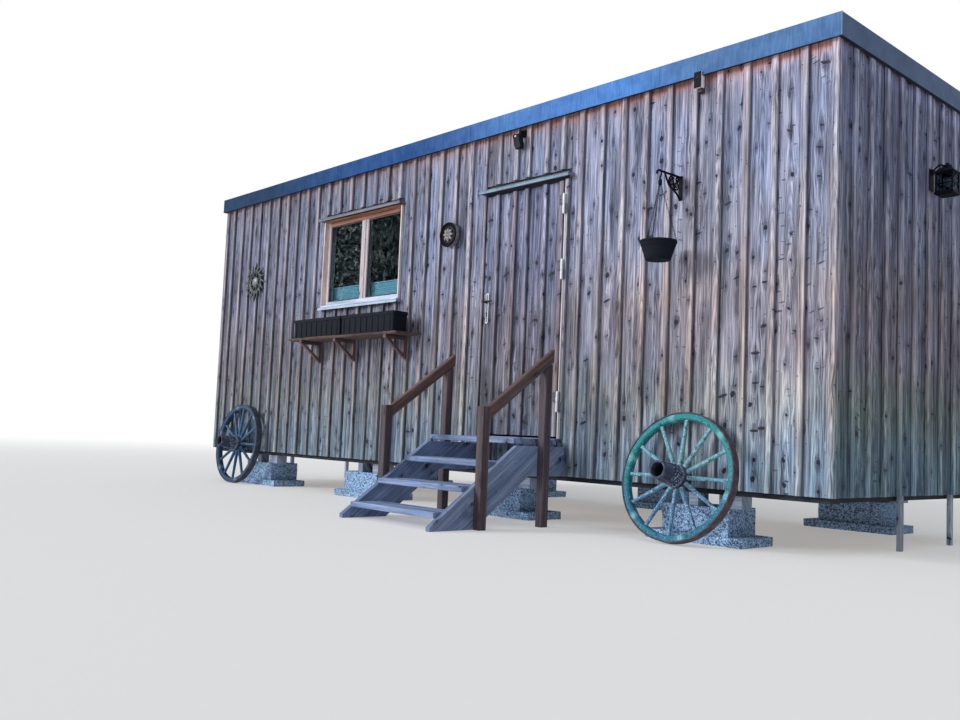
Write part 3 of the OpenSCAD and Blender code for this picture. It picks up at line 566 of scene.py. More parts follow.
MAT = {
    # Cladding: a dark, a middle and a light colour, then how each kind differs; their blue-lilac cast is
    # painted shade, the cool light of the shaded wall put into the wood's colour
    "boards": wood("weathered_boards", (0.038, 0.044, 0.078), (0.192, 0.22, 0.338), (0.44, 0.485, 0.67),
                   knots=0.52, eave=1.0, foot=0.75, spikes=0.34, fade=0.36, rim=0.077, spread=0.125,
                   cool=(0.92, 0.985, 1.06), warm=(1.12, 1.0, 0.91), cracks=0.95, knot_size=1.12),
    "battens": wood("weathered_battens", (0.075, 0.074, 0.108), (0.285, 0.292, 0.38), (0.58, 0.585, 0.69),
                    knots=0.24, eave=0.5, foot=0.6, knot_size=0.75, smudge=0.5, fade=0.26, rim=0.025,
                    spread=0.13, cool=(0.93, 0.99, 1.05), warm=(1.12, 0.99, 0.92), cracks=0.9),
    "door_boards": wood("door_boards", (0.024, 0.028, 0.05), (0.13, 0.144, 0.235), (0.33, 0.355, 0.51),
                        knots=0.55, foot=0.6, smudge=0.7, spread=0.125, rim=0.075, knot_size=1.2,
                        cool=(0.92, 0.985, 1.06), warm=(1.1, 1.0, 0.91), cracks=0.95, spikes=0.2),
    "door_battens": wood("door_battens", (0.042, 0.042, 0.066), (0.185, 0.188, 0.27), (0.44, 0.445, 0.56),
                         knots=0.24, foot=0.5, knot_size=0.75, smudge=0.6, rim=0.025, spread=0.14,
                         warm=(1.16, 0.98, 0.9), cracks=0.8),
    "end_boards": wood("shaded_boards", (0.02, 0.024, 0.047), (0.096, 0.114, 0.196), (0.255, 0.285, 0.43),
                       knots=0.5, eave=0.12, foot=0.8, spikes=0.2, smudge=0.65, rim=0.086, spread=0.125,
                       foot_green_tint=(0.74, 1.08, 0.75), low_shade_tint=(0.72, 0.84, 0.98)),
    "end_battens": wood("shaded_battens", (0.05, 0.055, 0.09), (0.202, 0.224, 0.336), (0.45, 0.47, 0.62),
                        knots=0.25, eave=0.12, foot=0.7, knot_size=0.75, smudge=0.6, rim=0.025,
                        spread=0.13, foot_green_tint=(0.74, 1.08, 0.75), low_shade_tint=(0.72, 0.84, 0.98)),
    # Door, window, stair, fittings and room
    "larch": wood("oiled_larch", (0.2, 0.075, 0.03), (0.44, 0.2, 0.1), (0.66, 0.38, 0.23),
                  knots=0.08, rough=0.6, cracks=0.3, depth=0.0008, smudge=0.15),
    "head": wood("pink_larch", (0.15, 0.046, 0.025), (0.33, 0.13, 0.075), (0.6, 0.34, 0.235),
                 knots=0.05, rough=0.6, cracks=0.3, depth=0.0008, smudge=0.15),
    "jamb": wood("pale_jamb", (0.42, 0.31, 0.29), (0.78, 0.66, 0.63), (0.93, 0.88, 0.86),
                 knots=0.1, rough=0.7, cracks=0.5, depth=0.001, smudge=0.3),
    # The middle post: a greyer, darker copy of the jamb's wood, painted shade
    "mullion": wood("shaded_mullion", (0.26, 0.21, 0.22), (0.48, 0.44, 0.46), (0.64, 0.62, 0.65),
                    knots=0.05, rough=0.7, cracks=0.5, depth=0.001, smudge=0.3),
    "low_rail": wood("washed_rail", (0.28, 0.33, 0.42), (0.47, 0.56, 0.7), (0.66, 0.74, 0.86),
                     knots=0.0, rough=0.6, cracks=0.2, depth=0.0006, smudge=0.2),
    "stain": wood("stained_posts", (0.012, 0.009, 0.013), (0.048, 0.034, 0.042), (0.125, 0.092, 0.105),
                  knots=0.15, rough=0.75, depth=0.001, smudge=0.4),
    "rail": wood("stained_rails", (0.03, 0.018, 0.017), (0.095, 0.055, 0.05), (0.22, 0.145, 0.13),
                 knots=0.12, rough=0.7, depth=0.001, smudge=0.4),
    # Steps and stringers: grey weathered wood, with a blue cast that is painted shade
    "step": wood("weathered_steps", (0.05, 0.072, 0.128), (0.168, 0.24, 0.41), (0.39, 0.51, 0.74),
                 knots=0.25, rough=0.85, spread=0.22),
    "raw": wood("sawn_timber", (0.1, 0.12, 0.17), (0.25, 0.3, 0.4), (0.45, 0.52, 0.62),
                knots=0.25, rough=0.85),
    "hub": wood("old_hub", (0.006, 0.008, 0.018), (0.024, 0.032, 0.064), (0.13, 0.16, 0.24),
                knots=0.0, rough=0.8, cracks=1.0, depth=0.002, spread=0.16, smudge=0.6),
    "room_wall": panelled("room_lining", (0.23, 0.155, 0.095), (0.4, 0.29, 0.19), 0.14, "z"),
    "room_floor": panelled("room_floor", (0.22, 0.13, 0.075), (0.42, 0.27, 0.16), 0.13, "y", 0.45),
    # Sheet metal and the roof's membrane
    "fascia": metal_paint("fascia_metal", (0.05, 0.128, 0.295), (0.031, 0.095, 0.233), 0.55, 0.0, 0.04,
                          streaks=0.05, specular=0.3, lines=0.16,
                          painted_light_bands=((0.05, (0.19, 0.28, 0.32)), (0.17, (0.3, 0.5, 0.62)),
                                 (0.3, (0.38, 0.58, 0.8)),
                                 (0.47, (0.37, 0.59, 0.79)), (0.58, (0.56, 0.78, 1.02)),
                                 (0.67, (0.86, 1.32, 1.5)),
                                 (0.8, (0.74, 1.24, 1.6)), (0.87, (0.93, 1.56, 1.92)),
                                 (0.95, (1.1, 1.17, 1.16)))),
    # The ends of the roof edge: a darker copy of the fascia paint, painted shade
    "shaded_fascia": metal_paint("fascia_painted_shade", (0.025, 0.066, 0.165), (0.017, 0.05, 0.132), 0.55, 0.0,
                               0.04,
                               streaks=0.05, specular=0.3, lines=0.06),
    "fascia_corner_highlight": metal_paint("fascia_painted_highlight", (0.2, 0.3, 0.46), (0.12, 0.2, 0.33), 0.4, 0.0, 0.1),
    "flashing": metal_paint("drip_flashing", (0.2, 0.3, 0.4), (0.13, 0.21, 0.3), 0.45, 0.0, 0.1,
                            specular=0.3),
    "head_trim": metal_paint("head_trim", (0.17, 0.17, 0.21), (0.11, 0.13, 0.17), 0.5, 0.0, 0.1,
                             specular=0.25),
    "sill": metal_paint("sill_metal", (0.36, 0.44, 0.56), (0.27, 0.34, 0.45), 0.4, 0.1, 0.1,
                        specular=0.4),
    "zinc": metal_paint("dull_metal", (0.1, 0.105, 0.12), (0.065, 0.07, 0.085), 0.5, 0.2, 0.1, 30.0,
                        specular=0.3),
    "hinge": metal_paint("white_hinge", (0.8, 0.81, 0.86), (0.62, 0.64, 0.7), 0.4, 0.1, 0.1, 60.0),
    "steel": metal_paint("dark_steel", (0.012, 0.014, 0.02), (0.024, 0.027, 0.036), 0.7, 0.0, 0.12,
                         specular=0.2),
    "membrane": metal_paint("roof_membrane", (0.045, 0.05, 0.055), (0.075, 0.08, 0.085), 0.8, 0.0, 0.6,
                            2.0),
    # Iron, stone, plastic, glass and cloth
    "black": iron("black_iron", (0.003, 0.003, 0.006), (0.01, 0.01, 0.015), 0.65, 0.0, 0.1),
    "old_iron": iron("aged_iron", (0.007, 0.01, 0.014), (0.075, 0.092, 0.1), 0.5, 0.4),
    "pewter": iron("bronze_relief", (0.11, 0.1, 0.105), (0.46, 0.42, 0.43), 0.45, 0.3),
    "sun_face": iron("worn_iron", (0.024, 0.03, 0.035), (0.21, 0.25, 0.27), 0.4, 0.5),
    "granite": granite("granite"),
    "dark_plastic": plastic("dark_plastic", (0.01, 0.012, 0.019), 0.65, 0.06, 0.06),
    "white_plastic": plastic("white_plastic", (0.84, 0.85, 0.9), 0.35, 0.1),
    "pane": glass("window_pane", (0.8, 0.93, 1.0), 0.84, 0.6),
    "lamp_pane": glass("lantern_pane", (0.86, 0.95, 1.0), 0.66),
    "bulb": lit("lamp_glass", (0.3, 0.34, 0.37), 0.04),
    "blind": cloth("pleated_blind", (0.42, 0.79, 0.79), (0.85, 0.98, 0.98)),
    # Old paint and rust of the wheels
    "teal": flaking("teal_paint", (0.008, 0.195, 0.208), (0.007, 0.105, 0.2), (0.015, 0.025, 0.045),
                    (0.28, 0.6, 0.66), 0.5, height=(0.2, 0.6), scrapes=0.585),
    "spoke": flaking("pale_blue_paint", (0.15, 0.36, 0.42), (0.085, 0.21, 0.37), (0.04, 0.05, 0.08),
                     (0.66, 0.78, 0.86), 0.75, height=(0.25, 0.6), scrapes=0.575),
    # Darker copies of the paint and rust for the left wheel: painted shade
    "rim_in_shade": flaking("shaded_rim_paint", (0.022, 0.058, 0.125), (0.014, 0.038, 0.1), (0.02, 0.02, 0.028),
                    (0.25, 0.32, 0.44), 0.5, height=(0.2, 0.9)),
    "spoke_in_shade": flaking("shaded_spoke_paint", (0.075, 0.17, 0.28), (0.04, 0.1, 0.2), (0.03, 0.03, 0.04),
                          (0.36, 0.46, 0.56), 0.55, height=(0.2, 0.9)),
    "worn_hub": flaking("worn_hub", (0.03, 0.045, 0.1), (0.028, 0.04, 0.085), (0.012, 0.014, 0.03),
                        (0.42, 0.48, 0.6), 0.7, scrapes=0.54),
    "hub_iron": rust("hub_iron", (0.012, 0.014, 0.03), (0.05, 0.055, 0.1), (0.16, 0.17, 0.26)),
    "tyre": rust("rusty_tyre", (0.016, 0.013, 0.022), (0.062, 0.042, 0.06), (0.15, 0.1, 0.125)),
    "tyre_in_shade": rust("shaded_tyre", (0.01, 0.012, 0.024), (0.034, 0.04, 0.066), (0.09, 0.1, 0.145)),
}


# Meshes

class Pile:
    """Collects points and faces of one object, with a material number and grain values."""

    def __init__(self):
        self.points = []
        self.faces = []
        self.slots = []
        self.grain = []

    def add(self, points, faces, grain=None, slot=0, matrix=None):
        base = len(self.points)
        if matrix is not None:
            points = [matrix @ Vector(p) for p in points]
        self.points.extend(tuple(p) for p in points)
        self.grain.extend(grain if grain else [(0.0, 0.0, 0.5)] * len(points))
        self.faces.extend(tuple(base + i for i in face) for face in faces)
        self.slots.extend([slot] * len(faces))

    def piece(self, name, body, mats, slot, nodes=(), smooth=32.0):
        mesh = bpy.data.meshes.new(name)
        mesh.from_pydata(self.points, [], self.faces)
        mesh.attributes.new("grain", "FLOAT_VECTOR", "POINT")
        mesh.attributes["grain"].data.foreach_set("vector", [c for g in self.grain for c in g])
        for key in mats:
            mesh.materials.append(MAT[key])
        mesh.polygons.foreach_set("material_index", self.slots)
        mesh.polygons.foreach_set("use_smooth", [True] * len(self.faces))
        mesh.validate()
        mesh.update()
        mesh.set_sharp_from_angle(angle=radians(smooth))
        obj = bpy.data.objects.new(name, mesh)
        bpy.context.scene.collection.objects.link(obj)
        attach(obj, body)
        if nodes:
            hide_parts(*nodes)
        return obj


def strip_faces(rows, size, closed_rows=False, caps=True):
    """Faces of a tube made of rings of points."""
    faces = []
    last = rows if closed_rows else rows - 1
    for j in range(last):
        for i in range(size):
            a = j * size + i
            b = j * size + (i + 1) % size
            c = ((j + 1) % rows) * size + (i + 1) % size
            d = ((j + 1) % rows) * size + i
            faces.append((a, b, c, d))
    if caps and not closed_rows:
        faces.append(tuple(reversed(range(size))))
        faces.append(tuple((rows - 1) * size + i for i in range(size)))
    return faces


def plank(pile, lo, hi, along, rng, ease=0.002, segs=8, wander=0.0006, slot=0, matrix=None):
    """A board between two corners: grain along one axis, eased edges, a little wander along its length."""
    lo, hi = Vector(lo), Vector(hi)
    a, b = [(1, 2), (2, 0), (0, 1)][along]
    mid = (lo + hi) / 2
    ha, hb = (hi[a] - lo[a]) / 2, (hi[b] - lo[b]) / 2
    ease = min(ease, 0.4 * ha, 0.4 * hb)
    ring = [(ha - ease, -hb), (ha, ease - hb), (ha, hb - ease), (ha - ease, hb),
            (ease - ha, hb), (-ha, hb - ease), (-ha, ease - hb), (ease - ha, -hb)]
    start = (float(rng.randint(0, 40)), rng.uniform(0, 40))
    own = rng.random()
    phase = [rng.uniform(0, 6.28) for _ in range(4)]
    points = []
    grain = []
    for k in range(segs + 1):
        t = k / segs
        shift_a = wander * sin(phase[0] + 5.1 * t) * sin(3.14 * t + phase[1])
        shift_b = wander * sin(phase[2] + 4.3 * t) * sin(3.14 * t + phase[3])
        for ra, rb in ring:
            p = [0.0, 0.0, 0.0]
            p[along] = lo[along] + t * (hi[along] - lo[along])
            p[a] = mid[a] + ra + shift_a
            p[b] = mid[b] + rb + shift_b
            points.append(p)
            grain.append((start[0] + ra + 0.7 * rb, start[1] + p[along], own))
    pile.add(points, strip_faces(segs + 1, 8), grain, slot, matrix)


def slab(pile, outline, axis, low, high, run, rng, slot=0, ease=0.003, matrix=None):
    """A flat piece cut to an outline in the two other axes, with eased edges and its grain along run."""
    a, b = [(1, 2), (0, 2), (0, 1)][axis]
    area = sum(p[0] * q[1] - q[0] * p[1] for p, q in zip(outline, outline[1:] + outline[:1]))
    if area < 0:
        outline = outline[::-1]
    count = len(outline)
    inner = []
    for i in range(count):
        p, q, r = (Vector(outline[j % count]) for j in (i - 1, i, i + 1))
        into, leave = (q - p).normalized(), (r - q).normalized()
        n0, n1 = Vector((-into.y, into.x)), Vector((-leave.y, leave.x))
        bis = (n0 + n1) / max(0.3, (n0 + n1).length_squared / 2)
        inner.append(q + ease * bis)
    rings = [(inner, low), (outline, low + ease), (outline, high - ease), (inner, high)]
    start = (rng.uniform(0, 40), rng.uniform(0, 40))
    own = rng.random()
    direction = Vector(run).normalized()
    points = []
    grain = []
    for ring, level in rings:
        for q in ring:
            p = [0.0, 0.0, 0.0]
            p[axis], p[a], p[b] = level, q[0], q[1]
            points.append(p)
            along = q[0] * direction.x + q[1] * direction.y
            side = q[1] * direction.x - q[0] * direction.y
            grain.append((start[0] + side + 0.7 * (level - low), start[1] + along, own))
    faces = strip_faces(4, count)
    if axis == 1:
        faces = [tuple(reversed(f)) for f in faces]
    pile.add(points, faces, grain, slot, matrix)


def turned_faces(rows, last, size, closed):
    """Faces between neighbouring rows of a profile, which may itself be a closed ring."""
    faces = []
    for j in range(last):
        for i in range(size if closed else size - 1):
            k = (i + 1) % size
            n = (j + 1) % rows
            faces.append((j * size + i, n * size + i, n * size + k, j * size + k))
    return faces


def lathe(pile, profile, matrix, segs=48, slot=0, closed=False, arc=(0.0, 360.0)):
    """Turns a profile of (radius, height) about the local z axis."""
    full = arc[1] - arc[0] >= 359.9
    rows = segs if full else segs + 1
    points = []
    grain = []
    for j in range(rows):
        a = radians(arc[0] + (arc[1] - arc[0]) * j / segs)
        for r, h in profile:
            points.append((r * cos(a), r * sin(a), h))
            grain.append((a * 0.09, h + 0.3 * r, 0.5))
    size = len(profile)
    faces = turned_faces(rows, rows if full else rows - 1, size, closed)
    if not full and closed:
        faces.append(tuple(range(size)))
        faces.append(tuple((rows - 1) * size + i for i in reversed(range(size))))
    pile.add(points, faces, grain, slot, matrix)


def tube(pile, path, radius, sides=10, slot=0, matrix=None, closed=False):
    """A rod along a path; radius is one number or one for each point."""
    path = [Vector(p) for p in path]
    count = len(path)
    radii = radius if hasattr(radius, "__len__") else [radius] * count
    normal = None
    points = []
    grain = []
    run = 0.0
    for k, p in enumerate(path):
        ahead = path[(k + 1) % count] if closed else path[min(k + 1, count - 1)]
        behind = path[k - 1] if closed or k else path[0]
        way = (ahead - behind).normalized()
        if normal is None:
            guess = Vector((0, 0, 1)) if abs(way.z) < 0.9 else Vector((1, 0, 0))
            normal = guess.cross(way).normalized()
        normal = (normal - way * normal.dot(way)).normalized()
        other = way.cross(normal)
        run += (p - behind).length if k else 0.0
        for i in range(sides):
            a = 2 * pi * i / sides
            points.append(p + radii[k] * (cos(a) * normal + sin(a) * other))
            grain.append((a * radii[k], run, 0.5))
    pile.add(points, strip_faces(count, sides, closed), grain, slot, matrix)


def smooth_path(points, steps):
    """More points along a smooth curve through the given ones."""
    out = []
    for k in range(len(points) - 1):
        a, b = points[max(0, k - 1)], points[k]
        c, d = points[k + 1], points[min(len(points) - 1, k + 2)]
        for j in range(steps):
            t = j / steps
            out.append(b + 0.5 * t * ((c - a) + t
                                      * ((2 * a - 5 * b + 4 * c - d) + t * (3 * b - 3 * c + d - a))))
    return out + [points[-1]]


def block(pile, lo, hi, ease=0.002, slot=0, matrix=None):
    """A plain eased box, for small hard parts."""
    plank(pile, lo, hi, 2, random.Random(1), ease, 1, 0.0, slot, matrix)


def turned(point, angle=pi / 2, axis="X"):
    """A place and a turn; with the usual turn, local z points out of the front."""
    return Matrix.Translation(point) @ Matrix.Rotation(angle, 4, axis)


def near_wall(d0, d1, y0, y1, h0, h1):
    """Corners of a box from distances to the right end, depths and heights, in metres."""
    return spot(d1, y0, h0), spot(d0, y1, h1)


# Cladding

# Middles of the battens, as distances from the right end: right of the door, on it, left of it
RIGHT_ROW = [HALF_BATTEN + 0.2015 * k for k in range(11)]
DOOR_ROW = [2.225, 2.400, 2.600, 2.737, 2.934]
LEFT_ROW = [3.275 + 0.1958 * k for k in range(22)]
FRONT_ROW = RIGHT_ROW + DOOR_ROW + LEFT_ROW + [BODY_L - HALF_BATTEN]
BACK_ROW = [HALF_BATTEN + k * (BODY_L - 2 * HALF_BATTEN) / 37 for k in range(38)]
END_ROW = [HALF_BATTEN + 0.218 * k for k in range(12)] + [BODY_D - HALF_BATTEN]

# Fields round the door and the window: nearer and farther edge, foot and top
FRONT_PANELS = [
    (BOARD, 2.150, 0.0, CLAD_TOP), (2.150, 3.085, 0.0, 0.250), (2.150, 3.085, 2.338, CLAD_TOP),
    (3.085, 4.205, 0.0, CLAD_TOP), (4.205, 5.475, 0.0, 1.475), (4.205, 5.475, 2.424, CLAD_TOP),
    (5.475, BODY_L - BOARD, 0.0, CLAD_TOP),
]


def clad_panel(pile, rng, row, d0, d1, h0, h1, box, ends=(0.0, BODY_L)):
    """Boards between battens, and the battens over their joints; box turns places into corners."""
    edges = [d0] + [b for b in row if d0 + 0.03 < b < d1 - 0.03] + [d1]
    long = max(1, int((h1 - h0) / 0.3))
    for left, right in zip(edges, edges[1:]):
        sunk = rng.uniform(0.0, 0.0018)
        lo, hi = box(left + 0.0015, right - 0.0015, BOARD + sunk, SKIN - 0.0002, h0, h1)
        plank(pile, lo, hi, 2, rng, 0.0025, long, 0.0007)
    low = ends[0] if d0 <= ends[0] + BOARD + 0.001 else d0
    high = ends[1] if d1 >= ends[1] - BOARD - 0.001 else d1

    # A batten is laid where its whole width fits into the field
    for b in row:
        fits = b - 0.0241 >= low - 0.0001 and b + 0.0239 <= high + 0.0001
        if fits or abs(b - low - HALF_BATTEN) < 0.0002:
            width = HALF_BATTEN - rng.uniform(0.0, 0.0012)
            rise = rng.uniform(0.0, 0.0012)
            lo, hi = box(b - width, b + width, rise, BOARD + 0.0002, h0 + rng.uniform(0, 0.002), h1)
            plank(pile, lo, hi, 2, rng, 0.0028, long, 0.0008, 1)


def build_cladding():
    """Boards and battens of the front, the back, both ends and the door."""
    rng = random.Random(11)
    pile = Pile()
    for panel in FRONT_PANELS:
        clad_panel(pile, rng, FRONT_ROW, *panel, near_wall)
    pile.piece("front_boards", "cabin", ("boards", "battens"), "weathered_boards", ("front_cladding",))

    def behind(d0, d1, y0, y1, h0, h1):
        return near_wall(d0, d1, BODY_D - y1, BODY_D - y0, h0, h1)

    pile = Pile()
    clad_panel(pile, rng, BACK_ROW, BOARD, BODY_L - BOARD, 0.0, CLAD_TOP, behind)
    pile.piece("back_boards", "cabin", ("boards", "battens"), "weathered_boards", ("back_cladding",))

    def right_end(d0, d1, y0, y1, h0, h1):
        d0, d1 = max(d0, BOARD + 0.0005), min(d1, BODY_D - BOARD - 0.0005)
        return spot(y1, d0, h0), spot(y0, d1, h1)

    def left_end(d0, d1, y0, y1, h0, h1):
        return right_end(d0, d1, BODY_L - y1, BODY_L - y0, h0, h1)

    pile = Pile()
    for side in (right_end, left_end):
        clad_panel(pile, rng, END_ROW, SKIN, BODY_D - SKIN, 0.0, CLAD_TOP, side,
                   (SKIN - BOARD, BODY_D - SKIN + BOARD))
        for b in (END_ROW[0], END_ROW[-1]):
            lo, hi = side(b - HALF_BATTEN, b + HALF_BATTEN, 0.0, BOARD, 0.0, CLAD_TOP)
            plank(pile, lo, hi, 2, rng, 0.0028, 9, 0.0005, 1)
    pile.piece("end_boards", "cabin", ("end_boards", "end_battens"), "weathered_boards",
               ("end_cladding",))

    pile = Pile()
    clad_panel(pile, rng, DOOR_ROW, 2.193, 3.073, 0.290, 2.247, near_wall, (2.193, 3.073))
    pile.piece("door_boards", "door", ("door_boards", "door_battens"), "weathered_boards",
               ("door_cladding",))


# Roof edge and flashings

def sheet_strip(pile, profile, d0, d1, slot):
    """A folded sheet along the front: profile points are (depth, height), in metres."""
    points = [spot(d, y, h) for d in (d0, d1) for y, h in profile]
    pile.add(points, strip_faces(2, len(profile)), None, slot)


def edge_profile(out, inward, low, top, lip=0.012):
    """A roof edge's fold: face, cap, a drip at its foot and a turned-down inner edge."""
    t = SHEET_T
    return [(-out, low + 0.010), (-out - 0.004, low + 0.002), (-out - 0.0035, low), (-out, low),
            (-out + t, low + 0.012), (-out + t, top - t), (inward - t, top - t - 0.004),
            (inward - t, top - lip), (inward, top - lip), (inward, top - 0.0035),
            (-out + 0.004, top), (-out + 0.001, top - 0.001), (-out, top - 0.004)]


def build_roof_edge():
    """The folded sheet round the roof with its joints, and the laps of the membrane."""
    corner, strip = 0.0322, 0.0285
    out, inward, low = 0.031, 0.110, BODY_H - 0.150
    pile = Pile()
    profile = edge_profile(out, inward, low, BODY_H)
    points = []
    for far_x, far_y in ((0, 0), (1, 0), (1, 1), (0, 1)):
        for o, h in profile:
            points.append(spot(BODY_L - o if far_x else o, BODY_D - o if far_y else o, h))
    pile.add(points, strip_faces(4, len(profile), True))
    # The two ends take the darker copy of the paint: painted shade
    pile.slots = [3 if k // len(profile) % 2 else 0 for k in range(len(pile.slots))]

    # Thin joints between the lengths of the sheet
    for d in (1.30, 3.27, 5.24):
        for back in (False, True):
            y0, y1 = (-0.0330, -0.0305) if not back else (BODY_D + 0.0305, BODY_D + 0.0330)
            lo, hi = near_wall(d - 0.0012, d + 0.0012, y0, y1, low + 0.012, BODY_H - 0.004)
            block(pile, lo, hi, 0.0004, 0)

    # Rounded corners in a lighter paint: a painted highlight down each corner
    for d, y in ((-corner, -corner), (BODY_L + corner, -corner),
                 (-corner, BODY_D + corner), (BODY_L + corner, BODY_D + corner)):
        tube(pile, [spot(d, y, low + 0.002), spot(d, y, BODY_H - 0.002)],
             0.0026, 8, 1)

    # Dark strips that close the gap under the edge: painted shade, standing for the shadow there
    h0, h1 = low + 0.006, low + 0.016
    for y0, y1 in ((-strip, -0.0005), (BODY_D + 0.0005, BODY_D + strip)):
        block(pile, *near_wall(-strip, BODY_L + strip, y0, y1, h0, h1), 0.001, 2)
    for d0, d1 in ((-strip, -0.0005), (BODY_L + 0.0005, BODY_L + strip)):
        block(pile, *near_wall(d0, d1, 0.0, BODY_D, h0, h1), 0.001, 2)
    pile.piece("roof_edge", "cabin", ("fascia", "fascia_corner_highlight", "steel", "shaded_fascia"), "fascia_metal",
               ("long_fascias", "end_fascias"))

    pile = Pile()
    for k in range(1, 8):
        x = at_x(k * BODY_L / 8)
        lo = (x - 0.05, at_y(0.112), at_z(BODY_H - 0.0345))
        hi = (x + 0.05, at_y(BODY_D - 0.112), at_z(BODY_H - 0.0305))
        block(pile, lo, hi, 0.0015)
    pile.piece("roof_laps", "cabin", ("membrane",), "membrane")


def build_flashings():
    """Drips over the door and the window, and the window's sill."""

    # Ends of the drip and of the leg behind the boards, how far it stands out, its top, lip and look
    pile = Pile()
    for d0, d1, h0, h1, out, top, lip, look in (
        (2.120, 3.115, 2.152, 3.083, 0.040, 2.298, 0.031, 0),
        (4.206, 5.544, 4.206, 5.474, 0.030, 2.398, 0.034, 3),
        (4.191, 5.479, 4.206, 5.474, 0.030, 1.485, 0.032, 1),
    ):
        t = SHEET_T
        profile = [(-out - 0.005, top - lip - 0.002), (-out - 0.0035, top - lip),
                   (-out, top - lip + 0.008), (-out, top - 0.009), (0.0215, top), (0.0215, top - t),
                   (t - out, top - 0.009 - t), (t - out, top - lip + 0.006)]
        sheet_strip(pile, profile, d0, d1, look)
        block(pile, *near_wall(h0, h1, 0.0215, 0.044, top - 0.006, top - 0.0002), 0.0008, look)
        if look != 1:
            # Over the door and the window, a dark strip above the drip: painted shade for the shaded gap
            # under the boards
            gap = 0.022 if look == 0 else 0.016
            block(pile, *near_wall(h0, h1, 0.0216, 0.042, top, top + gap), 0.0008, 2)
            tube(pile, [spot(d, -out, top - 0.0075) for d in (d0, d1)], 0.0035, 8, look)
        for d in (d0 + 0.001, d1 - 0.001):
            block(pile, *near_wall(d - 0.001, d + 0.001, -out, 0.0215, top - 0.028, top - 0.002), 0.0003,
                  look)
    pile.piece("drip_flashings", "cabin", ("flashing", "sill", "steel", "head_trim"), "flashing",
               ("metal_flashings",))


# Window

def build_window():
    """Frame, middle post, gaskets, trim and the two pleated blinds."""
    half, post, deep = 0.040, 0.055, 0.070
    rng = random.Random(23)
    near, far, foot, top = 4.220, 5.460, 1.500, 2.350

    # Frame: two jambs, head and foot
    pile = Pile()
    core = SKIN + 0.0002
    for d0, d1, h0, h1, along, tone in (
        (near - half, near + half, foot - half, top + half, 2, 1),
        (far - half, far + half, foot - half, top + half, 2, 1),
        (near + half, far - half, top - half, top + half, 0, 0),
        (near + half, far - half, foot - half, foot + half, 0, 3),
    ):
        plank(pile, *near_wall(d0, d1, core, SKIN + deep, h0, h1), along, rng, 0.004, 4, 0.0, tone)

    # Middle post, in three steps, in a greyer wood that is painted shade
    mid = (near + far) / 2
    for d0, d1, y in ((mid - post, mid - 0.016, 0.052), (mid - 0.016, mid + 0.016, 0.046),
                      (mid + 0.016, mid + post, 0.052)):
        plank(pile, *near_wall(d0, d1, y, SKIN + 0.068, foot + half, top - half), 2, rng, 0.005, 4, 0.0,
              4)

    # Dark gaskets round each pane
    for d0, d1 in ((near + half, mid - post), (mid + post, far - half)):
        for a0, a1, h0, h1, along in (
            (d0, d0 + 0.012, foot + half, top - half, 2), (d1 - 0.012, d1, foot + half, top - half, 2),
            (d0 + 0.012, d1 - 0.012, top - 0.052, top - half, 0),
            (d0 + 0.012, d1 - 0.012, foot + half, foot + 0.052, 0),
        ):
            plank(pile, *near_wall(a0, a1, 0.056, 0.0638, h0, h1), along, rng, 0.003, 2, 0.0, 2)

    # Trim over the ends of the boards
    for d0, d1, h0, h1, along, tone in (
        (near - 0.014, near, foot, top, 2, 1), (far, far + 0.014, foot, top, 2, 1),
        (near - 0.014, far + 0.014, top, top + 0.015, 0, 0),
        (near - 0.014, far + 0.014, foot - 0.015, foot, 0, 3),
    ):
        plank(pile, *near_wall(d0, d1, 0.0005, SKIN, h0, h1), along, rng, 0.0015, 4, 0.0, tone)
    pile.piece("window_joinery", "cabin", ("head", "jamb", "stain", "low_rail", "mullion"), "larch",
               ("window_frame",))

    # Blinds: pleated sheets that hang pulled together, and the rails over them
    back = SKIN + deep
    for name, d0, d1 in (("blind_right", near + 0.030, mid - 0.045),
                         ("blind_left", mid + 0.045, far - 0.030)):
        pile = Pile()
        folds = 9
        low, high = foot + 0.032, foot + 0.185
        rows = []
        for k in range(2 * folds + 1):
            h = low + (high - low) * k / (2 * folds)
            y = back + (0.003 if k % 2 else 0.016)
            rows.append((y, h))
        points = []
        for y, h in rows:
            for i in range(9):
                d = d0 + (d1 - d0) * i / 8
                wave = 0.0006 * sin(9 * i / 8 + 40 * h)
                points.append(spot(d, y + wave, h))
        faces = [(k * 9 + i, k * 9 + i + 1, k * 9 + i + 10, k * 9 + i + 9)
                 for k in range(2 * folds) for i in range(8)]
        pile.add(points, faces)
        obj = pile.piece(name, "cabin", ("blind",), "blind", ("window_blind",), 10.0)
    pile = Pile()
    for d0, d1 in ((near + 0.030, mid - 0.045), (mid + 0.045, far - 0.030)):
        block(pile, *near_wall(d0, d1, back + 0.001, back + 0.018, foot + 0.1855, foot + 0.194), 0.003)
    pile.piece("blind_rails", "cabin", ("white_plastic",), "blind")


# Door

# Heights of the hinges' middles, and the place of their axis
HINGE_AT = (0.550, 1.555, 2.060)
AXIS_D = 2.178
AXIS_Y = -0.015


